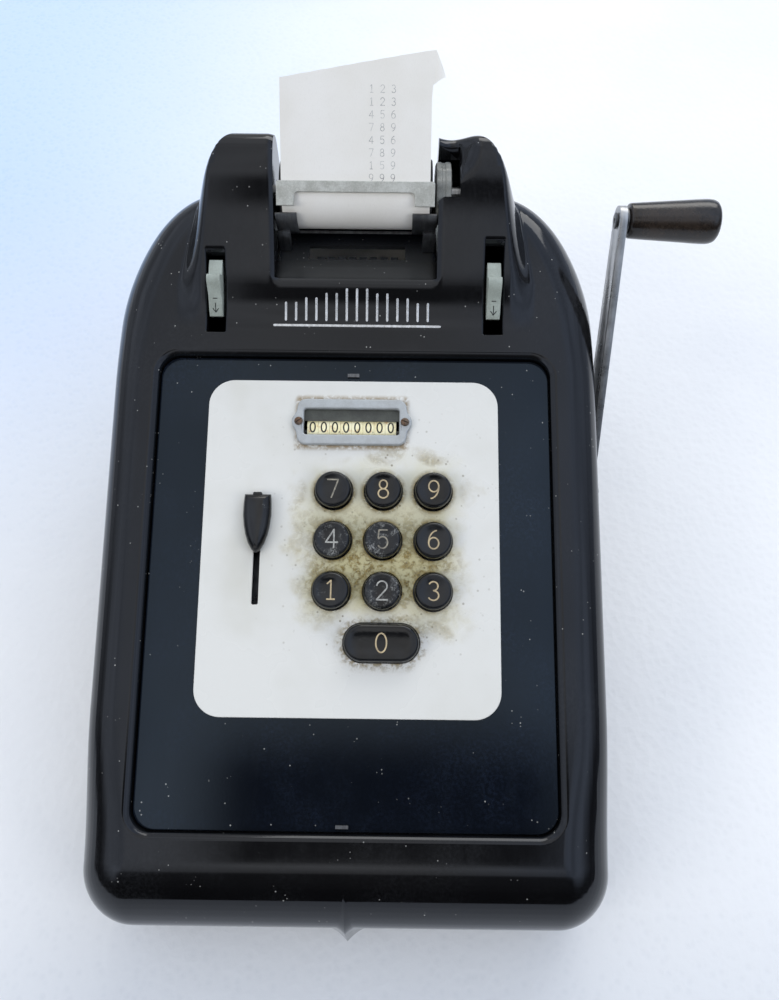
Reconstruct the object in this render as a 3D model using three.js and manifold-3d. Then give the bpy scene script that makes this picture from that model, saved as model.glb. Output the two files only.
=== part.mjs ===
// Hand-crank ten-key adding machine with a printing mechanism, in millimetres.
// X is across the machine, Y runs from the keyboard (front) to the paper hood (rear), Z is up.
// The parts are laid out about key 5, then the whole group is moved so that its box is centred.
import * as THREE from "three";
import { mergeVertices } from "three/addons/utils/BufferGeometryUtils.js";
import Module from "manifold-3d";

const wasm = await Module();
wasm.setup();

// ---------- driving dimensions ----------
const TILT = THREE.MathUtils.degToRad(17); // slope of the keyboard deck
const DECK_Z = 92; // height of the deck under key 5
const SHIFT = [-21.95, -8.04, 0]; // moves the centre of the whole box over the origin

const HALF_WIDTH = 96.5;
const FRONT_Y = -130;
const REAR_Y = 145;
const FRONT_CORNER = 19;
const REAR_CORNER_X = 40;
const REAR_CORNER_Y = 60;
const FRAME_RISE = 3; // crown of the housing above the face plate, square to the deck
const WALL = 4;
const HOUSING_FLOOR = 10.3;
const HOOD_RISE = 24;
const HOOD_START = 78;
const HOOD_END = 140;
const HOOD_HALF = 66.2; // half width of the hood, to the middle of its flank
const CHANNEL_HALF = 32;
const CHANNEL_FRONT = 96.5;

const PANEL = { left: -76.4, right: 76.4, front: -104.7, rear: 72.7, radius: 8 };
const PLATE = { left: -56.7, right: 56.3, front: -65.4, rear: 63.2, radius: 10 };
const PLATE_TOP = 0;
const PLATE_BOTTOM = -1;
const PANEL_TOP = -1.25;
const PANEL_BOTTOM = -2.85;

const KEY_PITCH = 19.05;
const KEY_COLUMN = 12; // x of the middle column
const KEY_RADIUS = 6.95;
const KEY_HEIGHT = 5.6;
const ZERO_KEY = { s: -38.1, half: 7, radius: 6.9 };
const KEY_WELL = 0.5; // gap round each key in the plate

const COUNTER = { x: -0.6, s: 46.2, wheelS: 44.6, wheelN: -8.6, radius: 8, pitch: 4.35 };
const WHEELS = 8;

const PLATEN_AXIS = [129.5, 141.6];
const PLATEN_RADIUS = 13;
const ROLL_AXIS = [122, 80];
const ROLL_RADIUS = 17;
const PAPER_HALF = 28.6;
const PAPER_RISE = THREE.MathUtils.degToRad(40);

const CRANK_AXIS = [40, 60];
const CRANK_REACH = 111.5;
const CRANK_LEAN = 0.031; // outward lean of the arm, per mm from hub to grip
const CRANK_REST = THREE.MathUtils.degToRad(47.6);

const LEVER_AXIS = [108, 103];
const LEVER_REST = THREE.MathUtils.degToRad(123);
const TYPE_AXIS = [81, 105.5];
const FRAME_X = 45;

// ---------- geometry helpers ----------
const deckMatrix = new THREE.Matrix4()
  .makeTranslation(0, 0, DECK_Z)
  .multiply(new THREE.Matrix4().makeRotationX(TILT));

// y and z of a point given by its run along the deck and its height square to it
function deckPoint(s, n) {
  const y = s * Math.cos(TILT) - n * Math.sin(TILT);
  const z = DECK_Z + s * Math.sin(TILT) + n * Math.cos(TILT);
  return [y, z];
}

function solidOf(geometry) {
  const bare = geometry.clone();
  bare.deleteAttribute("normal");
  bare.deleteAttribute("uv");
  const merged = mergeVertices(bare, 1e-4);
  const mesh = new wasm.Mesh({
    numProp: 3,
    vertProperties: merged.attributes.position.array,
    triVerts: new Uint32Array(merged.index.array),
  });
  return new wasm.Manifold(mesh);
}

function geometryOf(solid) {
  const mesh = solid.getMesh();
  const geometry = new THREE.BufferGeometry();
  geometry.setAttribute("position", new THREE.BufferAttribute(mesh.vertProperties, 3));
  geometry.setIndex(new THREE.BufferAttribute(mesh.triVerts, 1));
  return geometry;
}

function box(x0, x1, y0, y1, z0, z1) {
  const geometry = new THREE.BoxGeometry(x1 - x0, y1 - y0, z1 - z0);
  return geometry.translate((x0 + x1) / 2, (y0 + y1) / 2, (z0 + z1) / 2);
}

function deckBox(x0, x1, s0, s1, n0, n1) {
  return box(x0, x1, s0, s1, n0, n1).applyMatrix4(deckMatrix);
}

function shapeOf(points, holes = []) {
  const shape = new THREE.Shape(points.map(([a, b]) => new THREE.Vector2(a, b)));
  for (const hole of holes) {
    shape.holes.push(new THREE.Path(hole.map(([a, b]) => new THREE.Vector2(a, b))));
  }
  return shape;
}

function circle(a, b, radius, segments, start = 0) {
  const points = [];
  for (let i = 0; i < segments; i += 1) {
    const angle = start + (2 * Math.PI * i) / segments;
    points.push([a + radius * Math.cos(angle), b + radius * Math.sin(angle)]);
  }
  return points;
}

function arc(a, b, radius, from, to, steps) {
  const points = [];
  for (let i = 0; i <= steps; i += 1) {
    const angle = from + ((to - from) * i) / steps;
    points.push([a + radius * Math.cos(angle), b + radius * Math.sin(angle)]);
  }
  return points;
}

function roundedRectangle(x0, x1, y0, y1, radius, steps) {
  const quarter = Math.PI / 2;
  return [
    ...arc(x1 - radius, y1 - radius, radius, 0, quarter, steps),
    ...arc(x0 + radius, y1 - radius, radius, quarter, 2 * quarter, steps),
    ...arc(x0 + radius, y0 + radius, radius, 2 * quarter, 3 * quarter, steps),
    ...arc(x1 - radius, y0 + radius, radius, 3 * quarter, 4 * quarter, steps),
  ];
}

// a profile in the upright Y-Z plane, swept along X
function sweepX(points, x0, x1, holes = []) {
  const geometry = new THREE.ExtrudeGeometry(shapeOf(points, holes), {
    depth: x1 - x0,
    bevelEnabled: false,
  });
  const turn = new THREE.Matrix4().set(0, 0, 1, x0, 1, 0, 0, 0, 0, 1, 0, 0, 0, 0, 0, 1);
  return geometry.applyMatrix4(turn);
}

// an outline in plan, raised along Z
function raise(points, z0, z1, holes = []) {
  const geometry = new THREE.ExtrudeGeometry(shapeOf(points, holes), {
    depth: z1 - z0,
    bevelEnabled: false,
  });
  return geometry.translate(0, 0, z0);
}

// an outline on the deck, raised square to it
function raiseOnDeck(points, n0, n1, holes = []) {
  return raise(points, n0, n1, holes).applyMatrix4(deckMatrix);
}

function rodX(radius, x0, x1, [y, z], segments, bore = 0) {
  const holes = bore > 0 ? [circle(y, z, bore, 10)] : [];
  return sweepX(circle(y, z, radius, segments), x0, x1, holes);
}

// a turned piece whose axis is along X: profile points are [radius, x]
function turnedX(profile, [y, z], segments) {
  const points = profile.map(([radius, x]) => new THREE.Vector2(radius, x));
  const geometry = new THREE.LatheGeometry(points, segments);
  const turn = new THREE.Matrix4().set(0, 1, 0, 0, 1, 0, 0, y, 0, 0, -1, z, 0, 0, 0, 1);
  return geometry.applyMatrix4(turn);
}

// rings of points of equal count, joined into a closed solid; each ring runs anticlockwise from above
function loft(rings) {
  const count = rings[0].length;
  const positions = [];
  const index = [];
  for (const ring of rings) {
    for (const point of ring) positions.push(...point);
  }
  for (let k = 0; k + 1 < rings.length; k += 1) {
    for (let i = 0; i < count; i += 1) {
      const a = k * count + i;
      const b = k * count + ((i + 1) % count);
      index.push(a, b, b + count, a, b + count, a + count);
    }
  }
  const bottom = THREE.ShapeUtils.triangulateShape(
    rings[0].map((p) => new THREE.Vector2(p[0], p[1])),
    [],
  );
  const last = (rings.length - 1) * count;
  for (const [a, b, c] of bottom) {
    index.push(c, b, a);
    index.push(last + a, last + b, last + c);
  }
  const geometry = new THREE.BufferGeometry();
  geometry.setAttribute("position", new THREE.Float32BufferAttribute(positions, 3));
  geometry.setIndex(index);
  return geometry;
}

function smooth(t) {
  const u = Math.min(1, Math.max(0, t));
  return u * u * (3 - 2 * u);
}

// ---------- materials ----------
const colours = {
  bakelite: [0x0b0b0d, 0.18, 0.0],
  enamel: [0x0d0e10, 0.22, 0.0],
  plate: [0xdfe3e0, 0.45, 0.0],
  key: [0x0a0a0b, 0.15, 0.0],
  bezel: [0x8d9192, 0.4, 0.7],
  wheel: [0xd9cfa6, 0.6, 0.0],
  mask: [0x4c5249, 0.6, 0.2],
  steel: [0x8f9396, 0.35, 0.9],
  darkSteel: [0x45484b, 0.45, 0.8],
  castIron: [0x3a3c3e, 0.6, 0.6],
  lever: [0xa9b4ae, 0.5, 0.0],
  rubber: [0x141414, 0.85, 0.0],
  paper: [0xf2efe8, 0.8, 0.0],
  tearBar: [0xb7bab8, 0.4, 0.6],
  grip: [0x1c1512, 0.3, 0.0],
  brass: [0xa88b4a, 0.35, 0.9],
};

const assembly = new THREE.Group();
assembly.name = "adding_machine";
assembly.position.set(...SHIFT);
const root = new THREE.Group();
root.name = "hand_crank_adding_machine";
root.add(assembly);

function place(name, geometry, kind) {
  const [color, roughness, metalness] = colours[kind];
  const material = new THREE.MeshStandardMaterial({ color, roughness, metalness });
  const mesh = new THREE.Mesh(geometry, material);
  mesh.name = name;
  assembly.add(mesh);
}

// ---------- housing: one moulded shell ----------
// half width of the plan outline at a station, drawn in by `inset`
function halfWidthAt(y, inset) {
  const front = FRONT_Y + FRONT_CORNER;
  const rear = REAR_Y - REAR_CORNER_Y;
  if (y < front) {
    const radius = FRONT_CORNER - inset;
    const reach = Math.min(1, (front - y) / radius);
    return HALF_WIDTH - FRONT_CORNER + radius * Math.sqrt(1 - reach * reach);
  }
  if (y > rear) {
    const reach = Math.min(1, (y - rear) / (REAR_CORNER_Y - inset));
    const across = REAR_CORNER_X - inset;
    return HALF_WIDTH - REAR_CORNER_X + across * Math.sqrt(1 - reach * reach);
  }
  return HALF_WIDTH - inset;
}

// distance in from the plan outline
function edgeDistance(x, y) {
  const a = Math.abs(x);
  const plain = Math.min(HALF_WIDTH - a, y - FRONT_Y, REAR_Y - y);
  const frontX = a - (HALF_WIDTH - FRONT_CORNER);
  const frontY = FRONT_Y + FRONT_CORNER - y;
  if (frontX > 0 && frontY > 0) return FRONT_CORNER - Math.hypot(frontX, frontY);
  const rearX = a - (HALF_WIDTH - REAR_CORNER_X);
  const rearY = y - (REAR_Y - REAR_CORNER_Y);
  if (rearX > 0 && rearY > 0) {
    const u = rearX / REAR_CORNER_X;
    const v = rearY / REAR_CORNER_Y;
    const reach = Math.hypot(u, v);
    const slope = Math.hypot(u / REAR_CORNER_X, v / REAR_CORNER_Y) / reach;
    return (1 - reach) / slope;
  }
  return plain;
}

// how much of the hood stands at a point, from 0 to 1
function hoodShare(x, y) {
  const climb = smooth((y - HOOD_START) / (HOOD_END - HOOD_START));
  const corner = Math.max(0, y - 126) / 19;
  const flank = HOOD_HALF - 0.16 * Math.max(0, y - 98) - 9 * corner * corner;
  return climb * (1 - smooth((Math.abs(x) - flank + 5.5) / 10.5));
}

// radius of the rounded top edge: generous on the shoulders, tight along the top of the hood
function edgeRadiusAt(x, y) {
  const front = 7 * (1 - smooth((y + 110) / 50));
  const rear = (7 - 9 * hoodShare(x, y)) * smooth((y - 60) / 60);
  return 13 + front + rear;
}

// how far the hood dips into the paper channel and into the hollow beside the platen knob
function hoodDip(x, y) {
  const rollIn = 0.09 * Math.max(0, y - CHANNEL_FRONT + 3.5) ** 2;
  const beside = 1 - smooth((Math.abs(x) - CHANNEL_HALF + 2.5) / 5);
  const hollow = 1 - smooth(Math.hypot((x - 37) / 11.5, (y - 135.5) / 13));
  return Math.max(Math.min(1.3, rollIn) * beside, 5.5 * hollow);
}

function topHeight(x, y, inset) {
  const crown = DECK_Z + y * Math.tan(TILT) + FRAME_RISE / Math.cos(TILT);
  const radius = edgeRadiusAt(x, y);
  const inside = Math.max(0, edgeDistance(x, y) - inset);
  const round = Math.max(0, radius - inset);
  const gap = Math.max(0, round - inside);
  const drop = round - Math.sqrt(Math.max(0, round * round - gap * gap));
  return crown + HOOD_RISE * hoodShare(x, y) - hoodDip(x, y) - drop - inset;
}

// the moulded form: a top surface over the plan outline, with upright sides down to `floor`
function mouldedForm(stations, across, outer, inset, floor) {
  const rows = stations.map((y) => {
    const half = halfWidthAt(y, inset);
    const limit = across[across.length - 1];
    const squeeze = Math.min(1, (half - 3) / limit);
    const side = outer.map((part) => limit * squeeze + (half - limit * squeeze) * part);
    const right = [...across.map((x) => x * squeeze), ...side];
    const line = [...right.slice(1).map((x) => -x).reverse(), ...right];
    return line.map((x) => [x, y, topHeight(x, y, inset)]);
  });
  const count = rows[0].length;
  const positions = [];
  const index = [];
  for (const row of rows) {
    for (const point of row) positions.push(...point);
  }
  const quad = (a, b, c, d) => index.push(a, b, c, a, c, d);
  for (let j = 0; j + 1 < rows.length; j += 1) {
    for (let i = 0; i + 1 < count; i += 1) {
      const a = j * count + i;
      quad(a, a + 1, a + 1 + count, a + count);
    }
  }
  const rim = [];
  for (let i = 0; i < count; i += 1) rim.push(i);
  for (let j = 1; j < rows.length; j += 1) rim.push(j * count + count - 1);
  for (let i = count - 2; i >= 0; i -= 1) rim.push((rows.length - 1) * count + i);
  for (let j = rows.length - 2; j > 0; j -= 1) rim.push(j * count);
  const base = positions.length / 3;
  for (const top of rim) positions.push(positions[3 * top], positions[3 * top + 1], floor);
  for (let k = 0; k < rim.length; k += 1) {
    const next = (k + 1) % rim.length;
    quad(base + k, base + next, rim[next], rim[k]);
  }
  const flat = rim.map((_, k) => new THREE.Vector2(positions[3 * (base + k)], positions[3 * (base + k) + 1]));
  for (const [a, b, c] of THREE.ShapeUtils.triangulateShape(flat, [])) {
    index.push(base + c, base + b, base + a);
  }
  const geometry = new THREE.BufferGeometry();
  geometry.setAttribute("position", new THREE.Float32BufferAttribute(positions, 3));
  geometry.setIndex(index);
  return geometry;
}

const outerForm = mouldedForm(
  [
    -130, -129.5, -127.8, -124.5, -119, -111, -102, -70, 0, 60, 78, 85, 92, 99, 106, 113, 120, 127,
    132, 136, 139.5, 142.3, 144.2, 145,
  ],
  [0, 26, 29.5, 32, 34.5, 38, 42, 46, 50, 55, 59, 61.5, 64, 66.5, 69, 72],
  [0.3, 0.55, 0.75, 0.89, 0.97, 1],
  0,
  HOUSING_FLOOR,
);
const innerForm = mouldedForm(
  [-126, -124, -118, -108, -80, 0, 60, 78, 90, 102, 114, 126, 134, 138, 141],
  [0, 25, 34, 40, 46, 55, 60, 64, 68, 71],
  [0.4, 0.72, 0.92, 1],
  WALL,
  HOUSING_FLOOR - 5,
);

// y of the middle of the front at a height
function frontAt(z) {
  let low = FRONT_Y;
  let high = FRONT_Y + 25;
  for (let i = 0; i < 40; i += 1) {
    const middle = (low + high) / 2;
    if (topHeight(0, middle, 0) < z) low = middle;
    else high = middle;
  }
  return low;
}

// the thin pointed prow down the middle of the front, widest and furthest out at the bottom
function prow() {
  const levels = [HOUSING_FLOOR, 22, 30, 36, 41, 46, 50, 53, 55.5];
  const rings = levels.map((z) => {
    const front = frontAt(z);
    const grown = 1 - (z - HOUSING_FLOOR) / 46;
    const reach = 0.2 + 4.6 * grown;
    const half = 1.6 + 7.9 * grown;
    const ring = [];
    for (let i = -4; i <= 4; i += 1) {
      const part = 1 - Math.abs(i) / 4;
      ring.push([(i / 4) * half, front + 0.3 - (reach + 0.3) * part * part, z]);
    }
    ring.push([half, front + 3.5, z], [-half, front + 3.5, z]);
    return ring;
  });
  return loft(rings);
}

function housing() {
  const outer = solidOf(outerForm).add(solidOf(prow()));
  const inner = solidOf(innerForm);
  let shell = outer.subtract(inner);

  // ledge under the keyboard panel
  const ledge = raiseOnDeck(
    roundedRectangle(PANEL.left - 4, PANEL.right + 4, PANEL.front - 4, PANEL.rear + 4, 11, 4),
    -6.1,
    0.5,
  );
  shell = shell.add(solidOf(ledge));
  const opening = roundedRectangle(
    PANEL.left - 0.3,
    PANEL.right + 0.3,
    PANEL.front - 0.3,
    PANEL.rear + 0.3,
    PANEL.radius,
    5,
  );
  shell = shell.subtract(solidOf(raiseOnDeck(opening, -3.1, 30)));
  const through = roundedRectangle(
    PANEL.left + 5,
    PANEL.right - 5,
    PANEL.front + 5,
    PANEL.rear - 5,
    5,
    3,
  );
  shell = shell.subtract(solidOf(raiseOnDeck(through, -20, 30)));

  // paper channel: side walls, front lip and the pocket for the platen knob
  const wallLeft = box(-CHANNEL_HALF - 3.5, -CHANNEL_HALF, 93, 144.9, 112, 175);
  const wallRight = box(CHANNEL_HALF, CHANNEL_HALF + 3.5, 93, 144.9, 112, 175);
  const pocketWall = box(CHANNEL_HALF, 43.2, 113, 144.9, 124, 175);
  const lip = sweepX(
    [
      [92.5, 121],
      [108, 122.6],
      [108, 126.4],
      [104, 128.2],
      [99.5, 129.9],
      [97.4, 131.2],
      [95.5, 134],
      [92.5, 134],
    ],
    -CHANNEL_HALF - 3.5,
    CHANNEL_HALF + 3.5,
  );
  const channel = sweepX(
    [
      [CHANNEL_FRONT, 128.5],
      [100, 127.7],
      [104, 126.9],
      [108.1, 126.4],
      [108.1, 115],
      [139, 115],
      [139, 128],
      [150, 128],
      [150, 180],
      [CHANNEL_FRONT, 180],
    ],
    -CHANNEL_HALF,
    CHANNEL_HALF,
  );
  for (const wall of [wallLeft, wallRight, pocketWall, lip]) {
    shell = shell.add(solidOf(wall).intersect(outer));
  }
  shell = shell.subtract(solidOf(channel));
  const pocket = solidOf(box(CHANNEL_HALF - 1, 40.2, 124.5, 139, 130, 180));
  const knobRoom = solidOf(rodX(PLATEN_RADIUS - 0.2, CHANNEL_HALF - 1, 40.2, PLATEN_AXIS, 28));
  shell = shell.subtract(pocket).subtract(knobRoom);

  // open notches for the platen shaft, cut up from its bearing
  const shaftRoom = [
    [PLATEN_AXIS[0] - 3.6, PLATEN_AXIS[1] - 3.6],
    [PLATEN_AXIS[0] + 3.6, PLATEN_AXIS[1] - 3.6],
    [PLATEN_AXIS[0] + 3.6, PLATEN_AXIS[1] + 3.6],
    [PLATEN_AXIS[0] - 3.6, PLATEN_AXIS[1] + 3.6],
  ];
  shell = shell.subtract(solidOf(sweepX(shaftRoom, -37, -31)));
  shell = shell.subtract(solidOf(sweepX(shaftRoom, 38, 43.6)));

  // slots for the two rocking levers, and the hole for the crank shaft
  shell = shell.subtract(solidOf(box(-58.6, -51.3, 77.9, 104.4, 100, 160)));
  shell = shell.subtract(solidOf(box(50.7, 58.1, 77.9, 107.9, 100, 160)));
  shell = shell.subtract(solidOf(rodX(6.2, 85, 105, CRANK_AXIS, 20)));
  return geometryOf(shell);
}
place("housing", housing(), "bakelite");

// ---------- base ----------
function basePan() {
  const outline = [];
  const stations = [-129.2, -127, -122, -111, 85, 105, 122, 134, 141, 144.2];
  for (const y of stations) outline.push([halfWidthAt(y, 0.8), y]);
  for (const y of [...stations].reverse()) outline.push([-halfWidthAt(y, 0.8), y]);
  let pan = solidOf(raise(outline, 8, 10));
  for (const [x, y] of [[-60, -60], [60, -60], [0, 70]]) {
    pan = pan.subtract(solidOf(raise(circle(x, y, 6, 16), 7, 11)));
  }
  return geometryOf(pan);
}
place("base_pan", basePan(), "darkSteel");

const feet = { front_left: [-78, -104], front_right: [78, -104], rear_left: [-72, 100], rear_right: [72, 100] };
for (const [corner, [x, y]] of Object.entries(feet)) {
  const profile = [
    [0, 0],
    [8.5, 0],
    [10.5, 1.2],
    [11.5, 7.7],
    [0, 7.7],
  ];
  const foot = new THREE.LatheGeometry(profile.map(([r, z]) => new THREE.Vector2(r, z)), 20);
  foot.rotateX(Math.PI / 2).translate(x, y, 0);
  place(`foot_${corner}`, foot, "rubber");
}

// ---------- keyboard panel and face plate ----------
const keys = [];
for (let digit = 1; digit <= 9; digit += 1) {
  const column = (digit - 1) % 3;
  const row = Math.floor((digit - 1) / 3);
  keys.push({ digit, x: KEY_COLUMN + (column - 1) * KEY_PITCH, s: (row - 1) * KEY_PITCH });
}

function stadium(x, s, half, radius, steps) {
  const quarter = Math.PI / 2;
  return [
    ...arc(x + half, s, radius, -quarter, quarter, steps),
    ...arc(x - half, s, radius, quarter, 3 * quarter, steps),
  ];
}

function deckOpenings() {
  const openings = keys.map(({ x, s }) => circle(x, s, KEY_RADIUS + KEY_WELL, 14));
  openings.push(stadium(KEY_COLUMN, ZERO_KEY.s, ZERO_KEY.half, ZERO_KEY.radius + KEY_WELL, 6));
  openings.push(
    roundedRectangle(COUNTER.x - 18.9, COUNTER.x + 18.7, COUNTER.s - 8, COUNTER.s + 6.6, 0.5, 1),
  );
  openings.push(circle(COUNTER.x - 20.6, COUNTER.s, 1, 8));
  openings.push(circle(COUNTER.x + 20.6, COUNTER.s, 1, 8));
  openings.push(roundedRectangle(-36.9, -34.4, -24.5, 16.6, 0.6, 1));
  return openings;
}

const panelOutline = roundedRectangle(
  PANEL.left,
  PANEL.right,
  PANEL.front,
  PANEL.rear,
  PANEL.radius - 0.3,
  5,
);
place("key_panel", raiseOnDeck(panelOutline, PANEL_BOTTOM, PANEL_TOP, deckOpenings()), "enamel");

const plateOutline = roundedRectangle(
  PLATE.left,
  PLATE.right,
  PLATE.front,
  PLATE.rear,
  PLATE.radius,
  6,
);
place("face_plate", raiseOnDeck(plateOutline, PLATE_BOTTOM, PLATE_TOP, deckOpenings()), "plate");

// ---------- totals counter ----------
function bezelOutline() {
  const half = { x: 20.4, s: 9.2 };
  const side = [
    [half.x, -half.s + 2.2],
    [half.x + 0.4, -3.6],
    [half.x + 1.5, -1.9],
    [half.x + 3.1, 0],
    [half.x + 1.5, 1.9],
    [half.x + 0.4, 3.6],
    [half.x, half.s - 2.2],
    [half.x - 0.7, half.s - 0.7],
    [half.x - 2.2, half.s],
  ];
  const right = [[half.x - 2.2, -half.s], [half.x - 0.7, -half.s + 0.7], ...side];
  const left = right.map(([x, s]) => [-x, -s]);
  return [...right, ...left].map(([x, s]) => [COUNTER.x + x, COUNTER.s + s]);
}
const bezelHoles = [
  roundedRectangle(COUNTER.x - 18.6, COUNTER.x + 18.4, COUNTER.s - 5.1, COUNTER.s + 5.2, 0.8, 2),
  circle(COUNTER.x - 20.6, COUNTER.s, 1, 10),
  circle(COUNTER.x + 20.6, COUNTER.s, 1, 10),
];
place("counter_bezel", raiseOnDeck(bezelOutline(), 0.2, 1.9, bezelHoles), "bezel");

function screw(x, s) {
  const profile = [
    [0, -6],
    [0.7, -6],
    [0.7, 2.1],
    [1.6, 2.1],
    [1.3, 2.8],
    [0, 3],
  ];
  const piece = new THREE.LatheGeometry(profile.map(([r, n]) => new THREE.Vector2(r, n)), 12);
  piece.rotateX(Math.PI / 2).translate(x, s, 0).applyMatrix4(deckMatrix);
  return piece;
}

place("counter_mask", deckBox(-19.2, 17.8, 46.9, 52.5, -0.55, -0.05), "mask");

const [wheelY, wheelZ] = deckPoint(COUNTER.wheelS, COUNTER.wheelN);
for (let i = 0; i < WHEELS; i += 1) {
  const middle = COUNTER.x - 0.1 + (i - (WHEELS - 1) / 2) * COUNTER.pitch;
  const wheel = rodX(COUNTER.radius, middle - 1.95, middle + 1.95, [wheelY, wheelZ], 16, 1.8);
  place(`number_wheel_${i + 1}`, wheel, "wheel");
}
place("counter_shaft", rodX(1.5, -47.5, 47.5, [wheelY, wheelZ], 12), "steel");

// ---------- keys: dished cap on a flat stem ----------
function keySolid(ringAt, x, s) {
  const levels = [
    [-8, 0.35],
    [4.2, 0],
    [5.2, 0.35],
    [KEY_HEIGHT, 1.1],
    [5.3, 1.9],
  ];
  const rings = levels.map(([n, inset]) => ringAt(inset).map(([a, b]) => [a, b, n]));
  rings.push(ringAt(4.8).map(([a, b]) => [a, b, 4.55]));
  const cap = solidOf(loft(rings));
  const stem = solidOf(box(x - 3, x + 3, s - 0.8, s + 0.8, -30, -7));
  return geometryOf(cap.add(stem)).applyMatrix4(deckMatrix);
}
for (const { digit, x, s } of keys) {
  const cap = keySolid((inset) => circle(x, s, KEY_RADIUS - inset, 14), x, s);
  place(`key_${digit}`, cap, "key");
}
place(
  "key_0",
  keySolid(
    (inset) => stadium(KEY_COLUMN, ZERO_KEY.s, ZERO_KEY.half, ZERO_KEY.radius - inset, 8),
    KEY_COLUMN,
    ZERO_KEY.s,
  ),
  "key",
);

function keyGuide() {
  const stems = [...keys, { x: KEY_COLUMN, s: ZERO_KEY.s }];
  const slots = stems.map(({ x, s }) => [
    [x - 3.4, s - 1.1],
    [x, s - 1.2],
    [x + 3.4, s - 1.1],
    [x + 3.4, s + 1.1],
    [x, s + 1.2],
    [x - 3.4, s + 1.1],
  ]);
  const outline = roundedRectangle(-43.6, 43.6, -52, 31, 2, 1);
  return raiseOnDeck(outline, -21.5, -20, slots);
}
place("key_guide_plate", keyGuide(), "steel");

// ---------- correction lever: spade knob on a flat stem ----------
function correctionKnob() {
  const outline = (grow) => [
    [-35.6 + 4.9 + grow, 17 + grow],
    [-35.6 - 4.9 - grow, 17 + grow],
    [-35.6 - 5.3 - grow, 9],
    [-35.6 - 4.6 - grow, 2.5],
    [-35.6 - 2.6 - grow, -3.4],
    [-35.6, -5.6 - grow],
    [-35.6 + 2.6 + grow, -3.4],
    [-35.6 + 4.6 + grow, 2.5],
    [-35.6 + 5.3 + grow, 9],
  ];
  const levels = [
    [0.4, -0.2],
    [3.2, 0],
    [4.6, -0.7],
    [5.4, -2.4],
  ];
  const rings = levels.map(([n, grow]) => outline(grow).map(([a, b]) => [a, b, n]));
  const knob = solidOf(loft(rings));
  const stem = solidOf(box(-36.55, -34.75, 2, 14, -14, 1));
  return geometryOf(knob.add(stem)).applyMatrix4(deckMatrix);
}
place("correction_lever", correctionKnob(), "key");

// ---------- rocking levers in the hood ----------
function rocker(x0, x1) {
  const [y, z] = LEVER_AXIS;
  const point = (radius, degrees) => {
    const angle = LEVER_REST + THREE.MathUtils.degToRad(degrees);
    return [y + radius * Math.cos(angle), z + radius * Math.sin(angle)];
  };
  const outline = [];
  for (let i = -7; i <= 7; i += 1) {
    const degrees = i * 3;
    const hump = 3.2 * Math.exp(-((degrees / 6) ** 2));
    outline.push(point(30.8 + hump, degrees));
  }
  outline.push(point(25, 21), point(23, 9));
  outline.push(point(5.6, 50), point(5.4, 110), point(5.4, 180), point(5.4, 250), point(5.6, 310));
  outline.push(point(23, -9), point(25, -21));
  return sweepX(outline, x0, x1, [circle(y, z, 2.8, 12)]);
}
place("repeat_lever", rocker(-57.5, -52.3), "lever");
place("total_lever", rocker(51.7, 57), "lever");
place("lever_pivot_left", rodX(2.5, -61, -43, LEVER_AXIS, 12), "steel");
place("lever_pivot_right", rodX(2.5, 43.6, 61, LEVER_AXIS, 12), "steel");

// ---------- paper channel, platen and paper ----------
function channelFloor() {
  const profile = [
    [108.4, 125.9],
    [112, 125.3],
    [126, 124.2],
    [134, 123.6],
    [134.4, 122.2],
    [126, 122.7],
    [112, 123.6],
    [108.4, 124.2],
  ];
  const plate = solidOf(sweepX(profile, -31.7, 31.7));
  return geometryOf(plate.subtract(solidOf(box(-19.5, 19.5, 109.7, 118, 118, 130))));
}
place("channel_floor", channelFloor(), "enamel");

place("platen", rodX(PLATEN_RADIUS, -29.6, 29.6, PLATEN_AXIS, 32, 3.2), "rubber");
place("platen_shaft", rodX(2.9, -47.5, 47.5, PLATEN_AXIS, 16), "steel");

function platenKnob() {
  const flutes = 24;
  const outline = [];
  for (let i = 0; i < flutes; i += 1) {
    const angle = (2 * Math.PI * i) / flutes;
    const step = Math.PI / flutes;
    outline.push([PLATEN_AXIS[0] + 12 * Math.cos(angle), PLATEN_AXIS[1] + 12 * Math.sin(angle)]);
    outline.push([
      PLATEN_AXIS[0] + 11.4 * Math.cos(angle + step),
      PLATEN_AXIS[1] + 11.4 * Math.sin(angle + step),
    ]);
  }
  return sweepX(outline, 31, 37, [circle(...PLATEN_AXIS, 3.2, 12)]);
}
place("platen_knob", platenKnob(), "steel");

// the straight run of paper leaves the platen here and climbs backwards
const paperLeave = Math.PI / 2 + PAPER_RISE;

function paperPoint(along, above) {
  const radius = PLATEN_RADIUS + 0.45;
  const y = PLATEN_AXIS[0] + radius * Math.cos(paperLeave) + along * Math.cos(PAPER_RISE);
  const z = PLATEN_AXIS[1] + radius * Math.sin(paperLeave) + along * Math.sin(PAPER_RISE);
  return [y - above * Math.sin(PAPER_RISE), z + above * Math.cos(PAPER_RISE)];
}

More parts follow.
